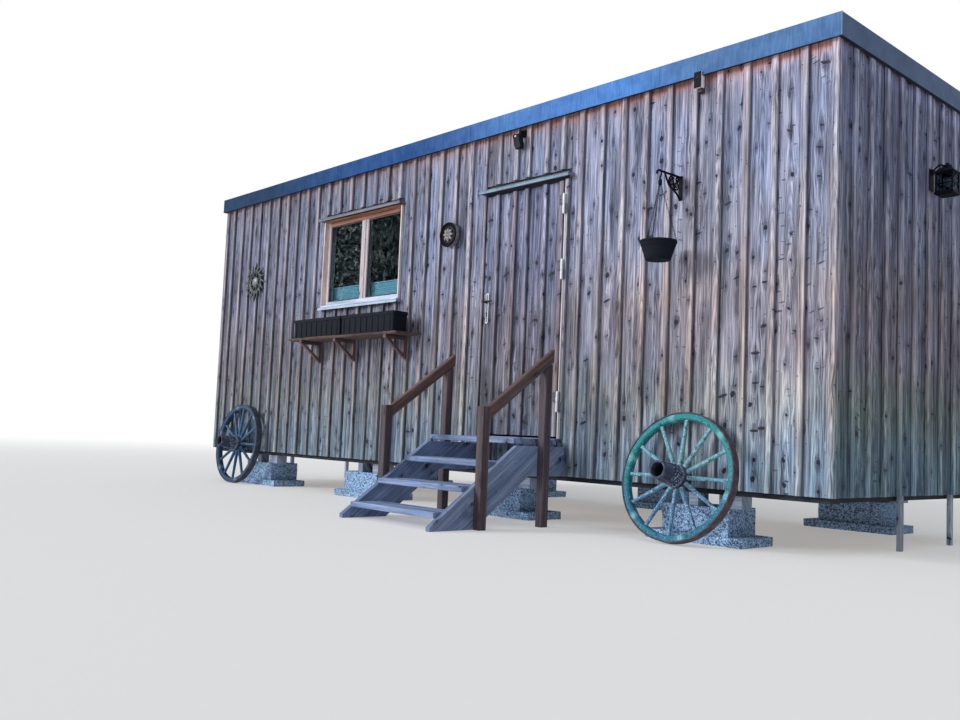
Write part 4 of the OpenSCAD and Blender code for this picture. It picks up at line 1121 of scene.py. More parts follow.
def build_door():
    """Frame, threshold, leaf, handle and hinges."""
    rng = random.Random(37)
    near, far, foot, top, deep = 2.185, 3.085, 0.2755, 2.255, 0.184

    # Frame: outer and inner linings, head and stops
    pile = Pile()
    plank(pile, *near_wall(2.151, 2.1745, 0.0003, SKIN, foot, top), 2, rng, 0.002, 8, 0.0003, 2)
    plank(pile, *near_wall(2.1747, near, 0.0003, SKIN, foot, top), 2, rng, 0.002, 8, 0.0002, 1)
    for d0, d1 in ((2.110, near), (far, 3.130)):
        plank(pile, *near_wall(d0, d1, SKIN, deep, foot, 2.300), 2, rng, 0.002, 6, 0.0)
    # The head lining takes the dark stain: painted shade under the drip
    plank(pile, *near_wall(near, far, SKIN, deep, top, 2.300), 0, rng, 0.002, 4, 0.0, 3)
    # A thin pale strip along the far edge: a painted highlight where that edge catches the light
    plank(pile, *near_wall(3.0830, 3.0849, 0.0006, 0.014, foot, top), 2, rng, 0.0004, 6, 0.0, 1)
    plank(pile, *near_wall(near, 2.205, 0.100, deep, foot, top), 2, rng, 0.003, 6, 0.0)
    plank(pile, *near_wall(3.065, far, 0.100, deep, foot, top), 2, rng, 0.003, 6, 0.0)
    plank(pile, *near_wall(2.205, 3.065, 0.100, deep, 2.235, top), 0, rng, 0.003, 6, 0.0)
    pile.piece("door_lining", "cabin", ("larch", "jamb", "battens", "stain"), "larch", ("door_frame",))

    # Threshold with three strips of metal
    pile = Pile()
    plank(pile, *near_wall(2.110, 3.130, SKIN, deep, 0.2502, 0.275), 0, rng, 0.004, 6, 0.0)
    plank(pile, *near_wall(2.187, 3.083, -0.020, SKIN, 0.2502, 0.275), 0, rng, 0.006, 6, 0.0)
    for k in range(3):
        y = 0.062 + 0.035 * k
        block(pile, *near_wall(2.20, 3.07, y, y + 0.012, 0.2745, 0.2762), 0.0006, 1)
    pile.piece("threshold_board", "cabin", ("step", "zinc"), "larch", ("door_threshold",))

    # Leaf: two stiles and three rails, with two fields of five boards
    pile = Pile()
    y0, y1 = SKIN + 0.0002, SKIN + 0.050
    for d0, d1, h0, h1, along in (
        (2.1935, 2.300, 0.2905, 2.2465, 2), (2.9665, 3.0725, 0.2905, 2.2465, 2),
        (2.300, 2.9665, 2.130, 2.2465, 0), (2.300, 2.9665, 0.2905, 0.470, 0),
        (2.300, 2.9665, 1.180, 1.330, 0),
    ):
        plank(pile, *near_wall(d0, d1, y0, y1, h0, h1), along, rng, 0.002, 5, 0.0)
    for h0, h1 in ((0.470, 1.180), (1.330, 2.130)):
        for k in range(5):
            d0 = 2.300 + k * 0.1333
            plank(pile, *near_wall(d0, d0 + 0.1325, y0 + 0.006, y1 - 0.010, h0, h1), 2, rng, 0.003, 4,
                  0.0)
    pile.piece("door_core", "door", ("larch",), "larch", ("door_leaf",))

    # Handle: a long plate, its key hole, a hub and a lever on each side
    pile = Pile()
    at, level = 3.022, 1.366
    for face, out, sign in ((BOARD, -0.042, -1), (SKIN + 0.050, SKIN + 0.105, 1)):
        outline = []
        for k in range(24):
            a = 2 * pi * k / 24
            up = 0.0581 if sin(a) >= 0 else -0.158
            outline.append((at_x(at) + 0.0165 * cos(a), at_z(level) + up + 0.0165 * sin(a)))
        y0, y1 = sorted((at_y(face), at_y(face + sign * 0.0078)))
        slab(pile, outline, 1, y0, y1, (0, 1), rng, 0, 0.0022)
        middle = at_x(at), at_z(level) - 0.05
        inner = [(middle[0] + 0.62 * (px - middle[0]), middle[1] + 0.94 * (pz - middle[1]))
                 for px, pz in outline]
        y0, y1 = sorted((at_y(face + sign * 0.0076), at_y(face + sign * 0.0083)))
        slab(pile, inner, 1, y0, y1, (0, 1), rng, 2, 0.0002)
        hub = [spot(at, face, level), spot(at, out, level)]
        tube(pile, hub, 0.0088, 16, 1)
        base = at_y(face + sign * 0.008)
        turn = turned((at_x(at), base, at_z(level)), -sign * pi / 2, "X")
        lathe(pile, [(0.0, 0.006), (0.012, 0.006), (0.0135, 0.004), (0.0135, 0.0)], turn, 24, 1)
        path = [(at_x(at) + 0.0001, at_y(out), at_z(level))]
        for k in range(1, 13):
            t = k / 12
            path.append((at_x(at) + 0.112 * t, at_y(out - sign * 0.006 * sin(3.1 * t)),
                         at_z(level) - 0.003 * t * t))
        radii = [0.0082] * 4 + [0.0078 - 0.0002 * k for k in range(8)] + [0.0055]
        tube(pile, path, radii, 12, 1)
        key = turned((at_x(at), base, at_z(level - 0.092)), -sign * pi / 2, "X")
        lathe(pile, [(0.0, 0.004), (0.0078, 0.004), (0.0085, 0.003), (0.0085, 0.0)], key, 20, 1)
        block(pile, (at_x(at) - 0.0045, min(base, base + sign * 0.003), at_z(level - 0.118)),
              (at_x(at) + 0.0045, max(base, base + sign * 0.003), at_z(level - 0.096)), 0.001, 1)
    pile.piece("door_furniture", "door", ("hinge", "steel", "zinc"), "bright_metal", ("door_handle",))

    # Hinges: the upper half turns with the leaf, the lower half and the pin stay
    moving = Pile()
    fixed = Pile()
    for h in HINGE_AT:
        axis = Matrix.Translation(spot(AXIS_D, AXIS_Y, h))
        ring = [(0.0063, 0.0012), (0.0092, 0.0012), (0.010, 0.002), (0.010, 0.0740), (0.0092, 0.075),
                (0.0063, 0.075)]
        lathe(moving, ring, axis, 28, 0, True)
        block(moving, *near_wall(2.1847, 2.2035, -0.012, -0.006, h + 0.001, h + 0.075), 0.001, 2)
        block(moving, *near_wall(2.203, 2.232, -0.012, 0.0, h + 0.001, h + 0.075), 0.002, 2)
        for up in (0.014, 0.038, 0.062):
            turn = turned(spot(2.2185, -0.012, h + up))
            lathe(moving, [(0.0, 0.0016), (0.003, 0.0014), (0.0042, 0.0)], turn, 14, 1)
        lathe(fixed, [(0.0, -0.077), (0.006, -0.0765), (0.0085, -0.074), (0.010, -0.072), (0.010, -0.001),
                      (0.0092, 0.0), (0.006, 0.0), (0.006, 0.0755), (0.0082, 0.0762), (0.0082, 0.0785),
                      (0.005, 0.082), (0.0, 0.083)], axis, 28)
        block(fixed, *near_wall(2.154, 2.174, -0.008, 0.0, h - 0.075, h), 0.0015, 2)
        for up in (-0.060, -0.037, -0.014):
            turn = turned(spot(2.1605, -0.008, h + up))
            lathe(fixed, [(0.0, 0.0014), (0.0028, 0.0012), (0.0038, 0.0)], turn, 14, 1)
    moving.piece("hinge_leaves", "door", ("hinge", "steel", "zinc"), "bright_metal",
                 ("door_hinge_leaves",))
    fixed.piece("hinge_pins", "cabin", ("hinge", "steel", "zinc"), "bright_metal", ("door_hinge_pins",))


# Stair

# The stair's middle and half its clear width, a step's rise and going, the posts' top and a rail's height
STAIR_MID = 2.633
HALF = 0.470
RISE = 0.170
GOING = 0.240
SLOPE = RISE / GOING
NEWEL_TOP = 0.480
RAIL_H = 0.095


def rail_top(y):
    """Height of a handrail's top at a depth."""
    return NEWEL_TOP + (y + 0.8075) * SLOPE


def build_stair():
    """Stringers, treads, posts and handrails."""
    half_post = 0.0325
    rng = random.Random(41)
    pile = Pile()
    edge, bend, foot = 0.215, -0.470, -1.250
    outline = [(0.0215, edge), (bend, edge), (foot, -0.330), (foot, -FOOT), (-0.858, -FOOT),
               (-0.350, 0.0), (0.0215, 0.0)]
    outline = [(at_y(y), at_z(h)) for y, h in outline]
    for side in (-1, 1):
        d = STAIR_MID + side * (HALF + 0.0225)
        slab(pile, outline, 0, at_x(d) - 0.0224, at_x(d) + 0.0224, (1.0, SLOPE), rng, 0, 0.003)
    pile.piece("stair_sides", "cabin", ("step",), "grey_timber", ("stair_stringers",))

    # Treads of two planks, the landing of three, with a screw at each end
    pile = Pile()
    d0, d1 = STAIR_MID - HALF + 0.0006, STAIR_MID + HALF - 0.0006
    treads = [(-0.470, -0.020, 0.270)] + [(-0.470 - GOING * k, -0.210 - GOING * k, 0.270 - RISE * k)
                                          for k in (1, 2, 3)]
    for y0, y1, top in treads:
        count = 3 if y1 - y0 > 0.4 else 2
        wide = (y1 - y0) / count
        for k in range(count):
            lo, hi = near_wall(d0, d1, y0 + k * wide + 0.002, y0 + (k + 1) * wide - 0.002, top - 0.040,
                               top)
            plank(pile, lo, hi, 0, rng, 0.005, 6, 0.0006)
            for s in (-1, 1):
                x = at_x(STAIR_MID) + s * (HALF - 0.025)
                place = Matrix.Translation((x, (lo[1] + hi[1]) / 2, at_z(top) - 0.0004))
                lathe(pile, [(0.0, 0.0012), (0.004, 0.001), (0.0052, 0.0)], place, 12, 1)
    pile.piece("stair_steps", "cabin", ("step", "steel"), "grey_timber", ("stair_treads",))

    # Newel posts with caps, back posts with bolts, and sloping handrails
    pile = Pile()
    rails = Pile()
    for side in (-1, 1):
        d = STAIR_MID + side * (HALF + 0.045 + half_post)
        lo, hi = near_wall(d - half_post, d + half_post, -0.8725, -0.8075, -FOOT, NEWEL_TOP - 0.003)
        plank(pile, lo, hi, 2, rng, 0.004, 6, 0.0005)
        cap = [(0.0, 0.0032), (0.026, 0.0028), (0.0322, 0.0)]
        lathe(pile, [(r * 1.3, h) for r, h in cap],
              turned(spot(d, -0.84, NEWEL_TOP - 0.003), pi / 4, "Z"), 4)
        back, front = -0.2025, -0.2675
        outline = [(at_y(front), 0.0), (at_y(back), 0.0),
                   (at_y(back), at_z(rail_top(back) - RAIL_H - 0.0005)),
                   (at_y(front), at_z(rail_top(front) - RAIL_H - 0.0005))]
        slab(pile, outline, 0, at_x(d) - half_post, at_x(d) + half_post, (0.0, 1.0), rng, 0, 0.004)
        start, end = -0.8072, -0.1755
        outline = [(at_y(start), at_z(rail_top(start) - RAIL_H)),
                   (at_y(end), at_z(rail_top(end) - RAIL_H)), (at_y(end), at_z(rail_top(end))),
                   (at_y(start), at_z(rail_top(start)))]
        slab(rails, outline, 0, at_x(d) - 0.0225, at_x(d) + 0.0225, (1.0, SLOPE), rng, 0, 0.006)
        for h in (0.06, 0.19):
            inner = at_x(d) + side * half_post
            turn = turned((inner, at_y(-0.235), at_z(h)), side * pi / 2, "Y")
            lathe(pile, [(0.0, 0.005), (0.009, 0.0045), (0.0105, 0.0)],
                  Matrix.Translation((-side * 0.065, 0, 0)) @ turn, 6, 1)
    pile.piece("posts", "cabin", ("stain", "steel"), "stained_timber", ("stair_posts",))
    rails.piece("handrails", "cabin", ("rail",), "stained_timber", ("stair_handrails",))


# Shelf, planters, pot and bracket

def build_shelf():
    """The flower shelf on its brackets, and the planters on it."""
    thick = 0.0215
    rng = random.Random(53)
    pile = Pile()
    near, far, top, out = 3.880, 5.620, 1.150, 0.270
    steps = 60

    # A board with a live front edge
    points, grain = [], []
    for k in range(steps + 1):
        d = near + (far - near) * k / steps
        live = 0.012 + 0.014 * noise.noise((d * 3.1, 0.4, 0.0))
        live += 0.005 * noise.noise((d * 11.0, 2.0, 0.0))
        y = -out + max(0.0, live)
        ring = [(-0.0005, top - thick), (y + 0.012, top - thick), (y + 0.003, top - 0.012),
                (y, top - 0.003), (y + 0.003, top), (-0.0005, top)]
        for a, h in ring:
            points.append(spot(d, a, h))
            grain.append((3.0 + a + 0.7 * h, d, 0.35))
    pile.add(points, strip_faces(steps + 1, 6), grain)

    # Three brackets, each with an upright, an arm and a strut
    foot = top - thick
    for at in (4.0586, 4.8414, 5.4288):
        plank(pile, *near_wall(at - 0.020, at + 0.020, -0.0300, -0.0002, foot - 0.200, foot), 2, rng,
              0.003, 3, 0.0003)
        plank(pile, *near_wall(at - 0.020, at + 0.020, -0.240, -0.0300, foot - 0.032, foot), 1, rng,
              0.003, 3, 0.0003)
        strut = [(at_y(-0.030), at_z(foot - 0.190)), (at_y(-0.030), at_z(foot - 0.155)),
                 (at_y(-0.185), at_z(foot - 0.032)), (at_y(-0.225), at_z(foot - 0.032))]
        slab(pile, strut, 0, at_x(at) - 0.016, at_x(at) + 0.016, (-1.0, 0.8), rng, 0, 0.003)
    pile.piece("shelf_board", "cabin", ("rail",), "stained_timber", ("flower_shelf",))

    # Two planters with a rim, ribs and a hollow inside
    pile = Pile()
    for at in (3.925, 4.740):
        length, depth, height = 0.800, 0.170, 0.180
        x0, x1 = at_x(at + length), at_x(at)
        y0, y1 = at_y(0.015 - out), at_y(0.015 - out + depth)
        z0 = at_z(top)

        def ring(inset, z, corner=0.012):
            pts = []
            for cx, cy, a0 in ((x1 - inset - corner, y1 - inset - corner, 0),
                               (x0 + inset + corner, y1 - inset - corner, 90),
                               (x0 + inset + corner, y0 + inset + corner, 180),
                               (x1 - inset - corner, y0 + inset + corner, 270)):
                for k in range(5):
                    a = radians(a0 + 22.5 * k)
                    pts.append((cx + corner * cos(a), cy + corner * sin(a), z))
            return pts

        levels = [(0.012, z0 + 0.0002), (0.008, z0 + 0.004), (0.005, z0 + height - 0.030),
                  (0.0, z0 + height - 0.028), (0.0, z0 + height - 0.002), (0.002, z0 + height),
                  (0.0145, z0 + height), (0.016, z0 + height - 0.003), (0.0125, z0 + height - 0.030),
                  (0.017, z0 + 0.010), (0.022, z0 + 0.0065)]
        points = [p for inset, z in levels for p in ring(inset, z)]
        pile.add(points, strip_faces(len(levels), 20))
        for k in range(9):
            x = x0 + 0.05 + k * (length - 0.1) / 8
            for y in (y0 + 0.0015, y1 - 0.0065):
                block(pile, (x - 0.004, y, z0 + 0.012), (x + 0.004, y + 0.005, z0 + height - 0.034),
                      0.0015)
    pile.piece("planters", "cabin", ("dark_plastic",), "dark_plastic", ("planter_boxes",))


def build_pot():
    """The scrolled bracket and the pot that hangs from it."""
    at, out, foot, arm = 1.136, 0.210, 1.484, 2.081

    # Bracket: a plate with screws, an arm with a hook, a brace and three curls
    pile = Pile()
    x = at_x(at)
    base = at_z(arm)
    block(pile, (x - 0.015, at_y(0.0165), base - 0.150), (x + 0.015, at_y(0.0218), base + 0.019), 0.002)
    for h in (-0.135, -0.02, 0.012):
        turn = turned((x, at_y(0.0165), base + h))
        lathe(pile, [(0.0, 0.004), (0.004, 0.0035), (0.0055, 0.0)], turn, 14)

    def bar(points, radius):
        rows = [Vector((x, at_y(y), base + h)) for y, h in points]
        tube(pile, [tuple(p) for p in smooth_path(rows, 6)], radius, 10)

    bar([(0.013, 0.008), (-0.060, 0.0095), (-0.130, 0.0085), (-0.190, 0.009), (-0.222, 0.0095),
         (-0.240, 0.002), (-0.2455, -0.017)], 0.0078)
    bar([(-0.158, 0.004), (-0.140, -0.030), (-0.118, -0.060), (-0.090, -0.080), (-0.055, -0.094),
         (-0.020, -0.114), (0.012, -0.142)], 0.0068)
    for y0, h0, r0, a0, turns in ((-0.084, -0.036, 0.036, 40.0, 1.5), (-0.030, -0.058, 0.034, 150.0, 1.4),
                                  (-0.024, -0.014, 0.020, 250.0, 1.2)):
        curl = []
        for k in range(9):
            t = k / 8
            a = radians(a0 + 360 * turns * t)
            r = r0 * (1 - 0.72 * t)
            curl.append((y0 + r * cos(a), h0 + r * sin(a)))
        bar(curl, 0.0056)
    pile.piece("scroll_bracket", "cabin", ("black",), "black_iron", ("basket_bracket",))

    # Pot, three chains of flat links, crown and hook
    pile = Pile()
    place = Matrix.Translation((x, at_y(-out), at_z(foot)))
    outer = [(0.0, 0.0), (0.0815, 0.0), (0.085, 0.004), (0.090, 0.022), (0.0922, 0.024), (0.0936, 0.030),
             (0.0936, 0.034), (0.1129, 0.092), (0.1157, 0.094), (0.1171, 0.100), (0.1203, 0.114),
             (0.1242, 0.116), (0.125, 0.119), (0.125, 0.127), (0.1239, 0.130), (0.1164, 0.130),
             (0.115, 0.127), (0.1146, 0.112), (0.1086, 0.090), (0.0797, 0.008), (0.0772, 0.0055),
             (0.0, 0.005)]
    lathe(pile, outer, place, 72)
    for turn in (30, 150, 270):
        a = radians(turn)
        low = Vector((0.120 * cos(a), 0.120 * sin(a), 0.126))
        high = Vector((0.006 * cos(a), 0.006 * sin(a), arm - foot - 0.086))
        count = 30
        for k in range(count):
            t = (k + 0.5) / count
            centre = low.lerp(high, t)
            way = (high - low).normalized()
            side = way.cross(Vector((0, 0, 1))).normalized()
            if k % 2:
                side = way.cross(side)
            half = (high - low).length / count * 0.68
            link = [centre + half * cos(b) * way + 0.0048 * sin(b) * side
                    for b in (2 * pi * i / 10 for i in range(10))]
            tube(pile, link, 0.0014, 5, 1, place, True)
    crown = [(0.0, -0.090), (0.010, -0.089), (0.0128, -0.083), (0.0128, -0.062), (0.0095, -0.052),
             (0.006, -0.046), (0.0, -0.044)]
    lathe(pile, [(r, h + arm - foot) for r, h in crown], place, 20, 1)
    hook = [Vector((0.0, 0.0, -0.048)), Vector((0.0, -0.003, -0.038)), Vector((0.0, 0.004, -0.026)),
            Vector((0.0, 0.009, -0.012)), Vector((0.0, 0.0085, 0.004)), Vector((0.0, 0.0, 0.0155))]
    hook = [(p.x, p.y, p.z + arm - foot) for p in smooth_path(hook, 5)]
    tube(pile, hook, 0.0055, 8, 1, place)
    pile.piece("pot_and_chains", "cabin", ("dark_plastic", "black"), "dark_plastic", ("hanging_pot",))


# Lamps, sensor and plaques

def build_lamps():
    """The lantern at the right end, the floodlight and the sensor under the eave."""
    pile = Pile()
    at, out, half = 1.332, 0.110, 0.065
    x0, y0 = at_x(0.0), at_y(at)

    def box(a0, a1, b0, b1, h0, h1, ease=0.0015, slot=0):
        block(pile, (x0 + a0, y0 + b0, at_z(h0)), (x0 + a1, y0 + b1, at_z(h1)), ease, slot)

    # Lantern: back plate, arm, base, four posts, bars, roof, panes and lamp
    box(0.0005, 0.006, -0.035, 0.035, 2.085, 2.235, 0.002)
    box(0.005, 0.020, -0.016, 0.016, 2.196, 2.232, 0.004)
    arm = []
    for k in range(16):
        t = k / 15
        arm.append((x0 + 0.010 + (out - 0.010) * t, y0, at_z(2.214 + 0.036 * sin(3.14 * t) + 0.012 * t)))
    tube(pile, arm, 0.0055, 10)
    box(out - half, out + half, -half, half, 2.043, 2.055, 0.003)
    box(out - half + 0.012, out + half - 0.012, -half + 0.012, half - 0.012, 2.036, 2.044, 0.003)
    for sx in (-1, 1):
        for sy in (-1, 1):
            cx, cy = out + sx * (half - 0.011), sy * (half - 0.011)
            box(cx - 0.0055, cx + 0.0055, cy - 0.0055, cy + 0.0055, 2.054, 2.192, 0.0012)
    for sx, sy in ((1, 0), (-1, 0), (0, 1), (0, -1)):
        cx, cy = out + sx * (half - 0.011), sy * (half - 0.011)
        wx, wy = (0.004, half - 0.014) if sx else (half - 0.014, 0.004)
        for h in (2.054, 2.180, 2.112):
            thin = 0.010 if h != 2.112 else 0.006
            box(cx - wx, cx + wx, cy - wy, cy + wy, h, h + thin, 0.001)
    roof = [(half * 1.41, 0.0), (half * 1.41, 0.006), (half * 1.05, 0.024), (0.036, 0.042), (0.033, 0.05),
            (0.0, 0.052)]
    top = turned((x0 + out, y0, at_z(2.19)), pi / 4, "Z")
    lathe(pile, roof, top, 4)
    finial = [(0.030, 0.046), (0.027, 0.056), (0.012, 0.060), (0.009, 0.064), (0.011, 0.068),
              (0.008, 0.073), (0.0, 0.074)]
    lathe(pile, finial, Matrix.Translation((x0 + out, y0, at_z(2.190))), 24)
    for sx, sy in ((1, 0), (-1, 0), (0, 1), (0, -1)):
        cx, cy = out + sx * (half - 0.012), sy * (half - 0.012)
        wx, wy = (0.0012, half - 0.018) if sx else (half - 0.018, 0.0012)
        box(cx - wx, cx + wx, cy - wy, cy + wy, 2.062, 2.182, 0.0004, 1)
    holder = [(0.0, 0.0), (0.016, 0.0), (0.016, 0.012), (0.011, 0.018), (0.011, 0.038), (0.0, 0.038)]
    lathe(pile, holder, Matrix.Translation((x0 + out, y0, at_z(2.055))), 20)
    lamp = [(0.0105, 0.038), (0.013, 0.046), (0.022, 0.066), (0.024, 0.078), (0.019, 0.094),
            (0.008, 0.102), (0.0, 0.104)]
    lathe(pile, lamp, Matrix.Translation((x0 + out, y0, at_z(2.055))), 24, 2)
    pile.piece("lantern", "cabin", ("black", "lamp_pane", "bulb"), "black_iron", ("wall_lantern",), 28.0)

    # Floodlight: a wall box and a tilted head with cooling ribs
    pile = Pile()
    block(pile, *near_wall(2.642, 2.695, -0.002, 0.0218, 2.682, 2.732), 0.004)
    block(pile, *near_wall(2.655, 2.682, -0.036, 0.0, 2.694, 2.722), 0.005)
    head = turned(spot(2.668, -0.04, 2.7), radians(18), "X")
    outline = []
    for cx, cz, a0 in ((0.026, -0.016, 0), (-0.026, -0.016, 90), (-0.012, -0.099, 180),
                       (0.012, -0.099, 270)):
        r = 0.012 if cz > -0.05 else 0.026
        for k in range(7):
            a = radians(a0 + 15 * k)
            outline.append((cx + r * cos(a), cz + r * sin(a)))
    rng = random.Random(5)
    slab(pile, outline, 1, -0.046, -0.004, (0, 1), rng, 0, 0.005, head)
    inner = [(0.82 * a, -0.0615 + 0.84 * (h + 0.0625)) for a, h in outline]
    slab(pile, inner, 1, -0.0495, -0.0455, (0, 1), rng, 1, 0.001, head)
    for k in range(7):
        h = -0.104 + 0.013 * k
        block(pile, (-0.022, -0.004, h), (0.022, 0.006, h + 0.004), 0.001, 0, head)
    eye = head @ Matrix.Translation((0.0, -0.0495, -0.020)) @ Matrix.Rotation(pi / 2, 4, "X")
    lathe(pile, [(0.0, 0.006), (0.005, 0.005), (0.008, 0.0)], eye, 20, 2)
    pile.piece("floodlight", "cabin", ("dark_plastic", "steel", "white_plastic"), "dark_plastic",
               ("spot_light",))

    # Sensor: a white case on a dark holder
    pile = Pile()
    block(pile, *near_wall(0.947, 1.001, -0.034, 0.004, 2.668, 2.7485), 0.008, 0)
    block(pile, *near_wall(0.945, 1.003, -0.045, -0.0362, 2.664, 2.7748), 0.003, 0)
    block(pile, *near_wall(0.952, 0.996, -0.037, -0.030, 2.675, 2.744), 0.003, 0)
    block(pile, *near_wall(0.958, 0.990, 0.0035, 0.0218, 2.640, 2.745), 0.004, 2)
    block(pile, *near_wall(0.954, 0.994, -0.020, 0.012, 2.642, 2.668), 0.006, 2)
    block(pile, *near_wall(0.9455, 1.0025, -0.0462, -0.0440, 2.6645, 2.7745), 0.001, 3)
    turn = turned(spot(0.974, -0.046, 2.738))
    lathe(pile, [(0.0, 0.004), (0.007, 0.0032), (0.011, 0.0)], turn, 24, 1)
    pile.piece("watch_sensor", "cabin", ("white_plastic", "steel", "stain", "black"), "white_plastic",
               ("sensor_box",))


def build_plaques():
    """The sun and the round plaque on the front."""

    # Sun: sixteen wavy rays, a ring and a domed middle
    pile = Pile()
    place = turned(spot(6.8, -0.0003, 1.86))
    place = place @ Matrix.Diagonal((1.18, 1.18, 1.0, 1.0))
    for k in range(16):
        turn = place @ Matrix.Rotation(radians(22.5 * k), 4, "Z")
        tip = 0.190 if k % 2 == 0 else 0.172
        path, radii = [], []
        for j in range(13):
            t = j / 12
            path.append((0.100 + (tip - 0.100) * t, 0.0105 * sin(6.28 * t) * (1 - 0.4 * t), 0.009))
            radii.append(0.0115 * (1 - t) ** 0.6 + 0.0012)
        tube(pile, path, radii, 8, 0, turn)
    lathe(pile, [(0.082, 0.0), (0.116, 0.0), (0.118, 0.006), (0.112, 0.013), (0.104, 0.0155),
                 (0.096, 0.013), (0.088, 0.008), (0.082, 0.006)], place, 64, 0, True)
    lathe(pile, [(0.0, 0.022), (0.018, 0.0215), (0.032, 0.018), (0.044, 0.0125), (0.050, 0.006),
                 (0.050, 0.0)], place, 48, 2)
    for k in range(8):
        turn = place @ Matrix.Rotation(radians(45 * k + 22.5), 4, "Z")
        tube(pile, [(0.046, 0.0, 0.006), (0.066, 0.0, 0.009), (0.088, 0.0, 0.007)],
             [0.006, 0.0042, 0.006], 8, 0, turn)
    lathe(pile, [(0.0, 0.003), (0.084, 0.003), (0.084, 0.0)], place, 48, 1)
    pile.piece("sun_relief", "cabin", ("old_iron", "black", "sun_face"), "old_iron", ("sun_plaque",),
               40.0)

    # Round plaque: a dish with a beaded rim and a rosette of eight petals
    pile = Pile()
    place = turned(spot(3.495, -0.0003, 1.98))
    lathe(pile, [(0.0, 0.0), (0.106, 0.0), (0.108, 0.004), (0.108, 0.036)], place, 72, 1)
    rim = [(0.108, 0.036), (0.104, 0.043), (0.099, 0.045), (0.094, 0.041), (0.0925, 0.034),
           (0.088, 0.030), (0.083, 0.034), (0.078, 0.034), (0.074, 0.029), (0.0, 0.028)]
    lathe(pile, rim, place, 72)
    for k in range(8):
        turn = place @ Matrix.Rotation(radians(45 * k), 4, "Z")
        path = [(0.014 + 0.046 * j / 8, 0.0, 0.031 + 0.004 * sin(3.14 * j / 8)) for j in range(9)]
        radii = [0.004 + 0.0105 * sin(3.14 * (0.08 + 0.88 * j / 8)) for j in range(9)]
        tube(pile, path, radii, 8, 1, turn)
    lathe(pile, [(0.0, 0.044), (0.008, 0.043), (0.014, 0.038), (0.016, 0.030)], place, 32, 1)
    for k in range(36):
        turn = place @ Matrix.Rotation(radians(10 * k), 4, "Z")
        tube(pile, [(0.068, 0.0, 0.028), (0.068, 0.0, 0.0315)], [0.0028, 0.0012], 6, 1, turn)
    pile.piece("rosette_relief", "cabin", ("black", "pewter"), "old_iron", ("round_plaque",), 40.0)


# Wheels

# A tyre's radius, width and thickness, a rim's height and width
TYRE_R, TYRE_W, TYRE_T, RIM_T, RIM_W = 0.428, 0.065, 0.009, 0.040, 0.058

# Where the two wheels stand, from the right end, and how far they lean, in degrees
WHEELS = ((0.990, 12.8), (6.815, 7.0))


def wheel_place(d, lean):
    """Stands a wheel at height 0 and leans it on the front, d metres from the right end."""
    lean = radians(lean)
    out = TYRE_R * sin(lean) + TYRE_W * cos(lean)
    rise = TYRE_R * cos(lean) + TYRE_W * sin(lean)
    return turned((at_x(d), at_y(-out), rise), -lean, "X")


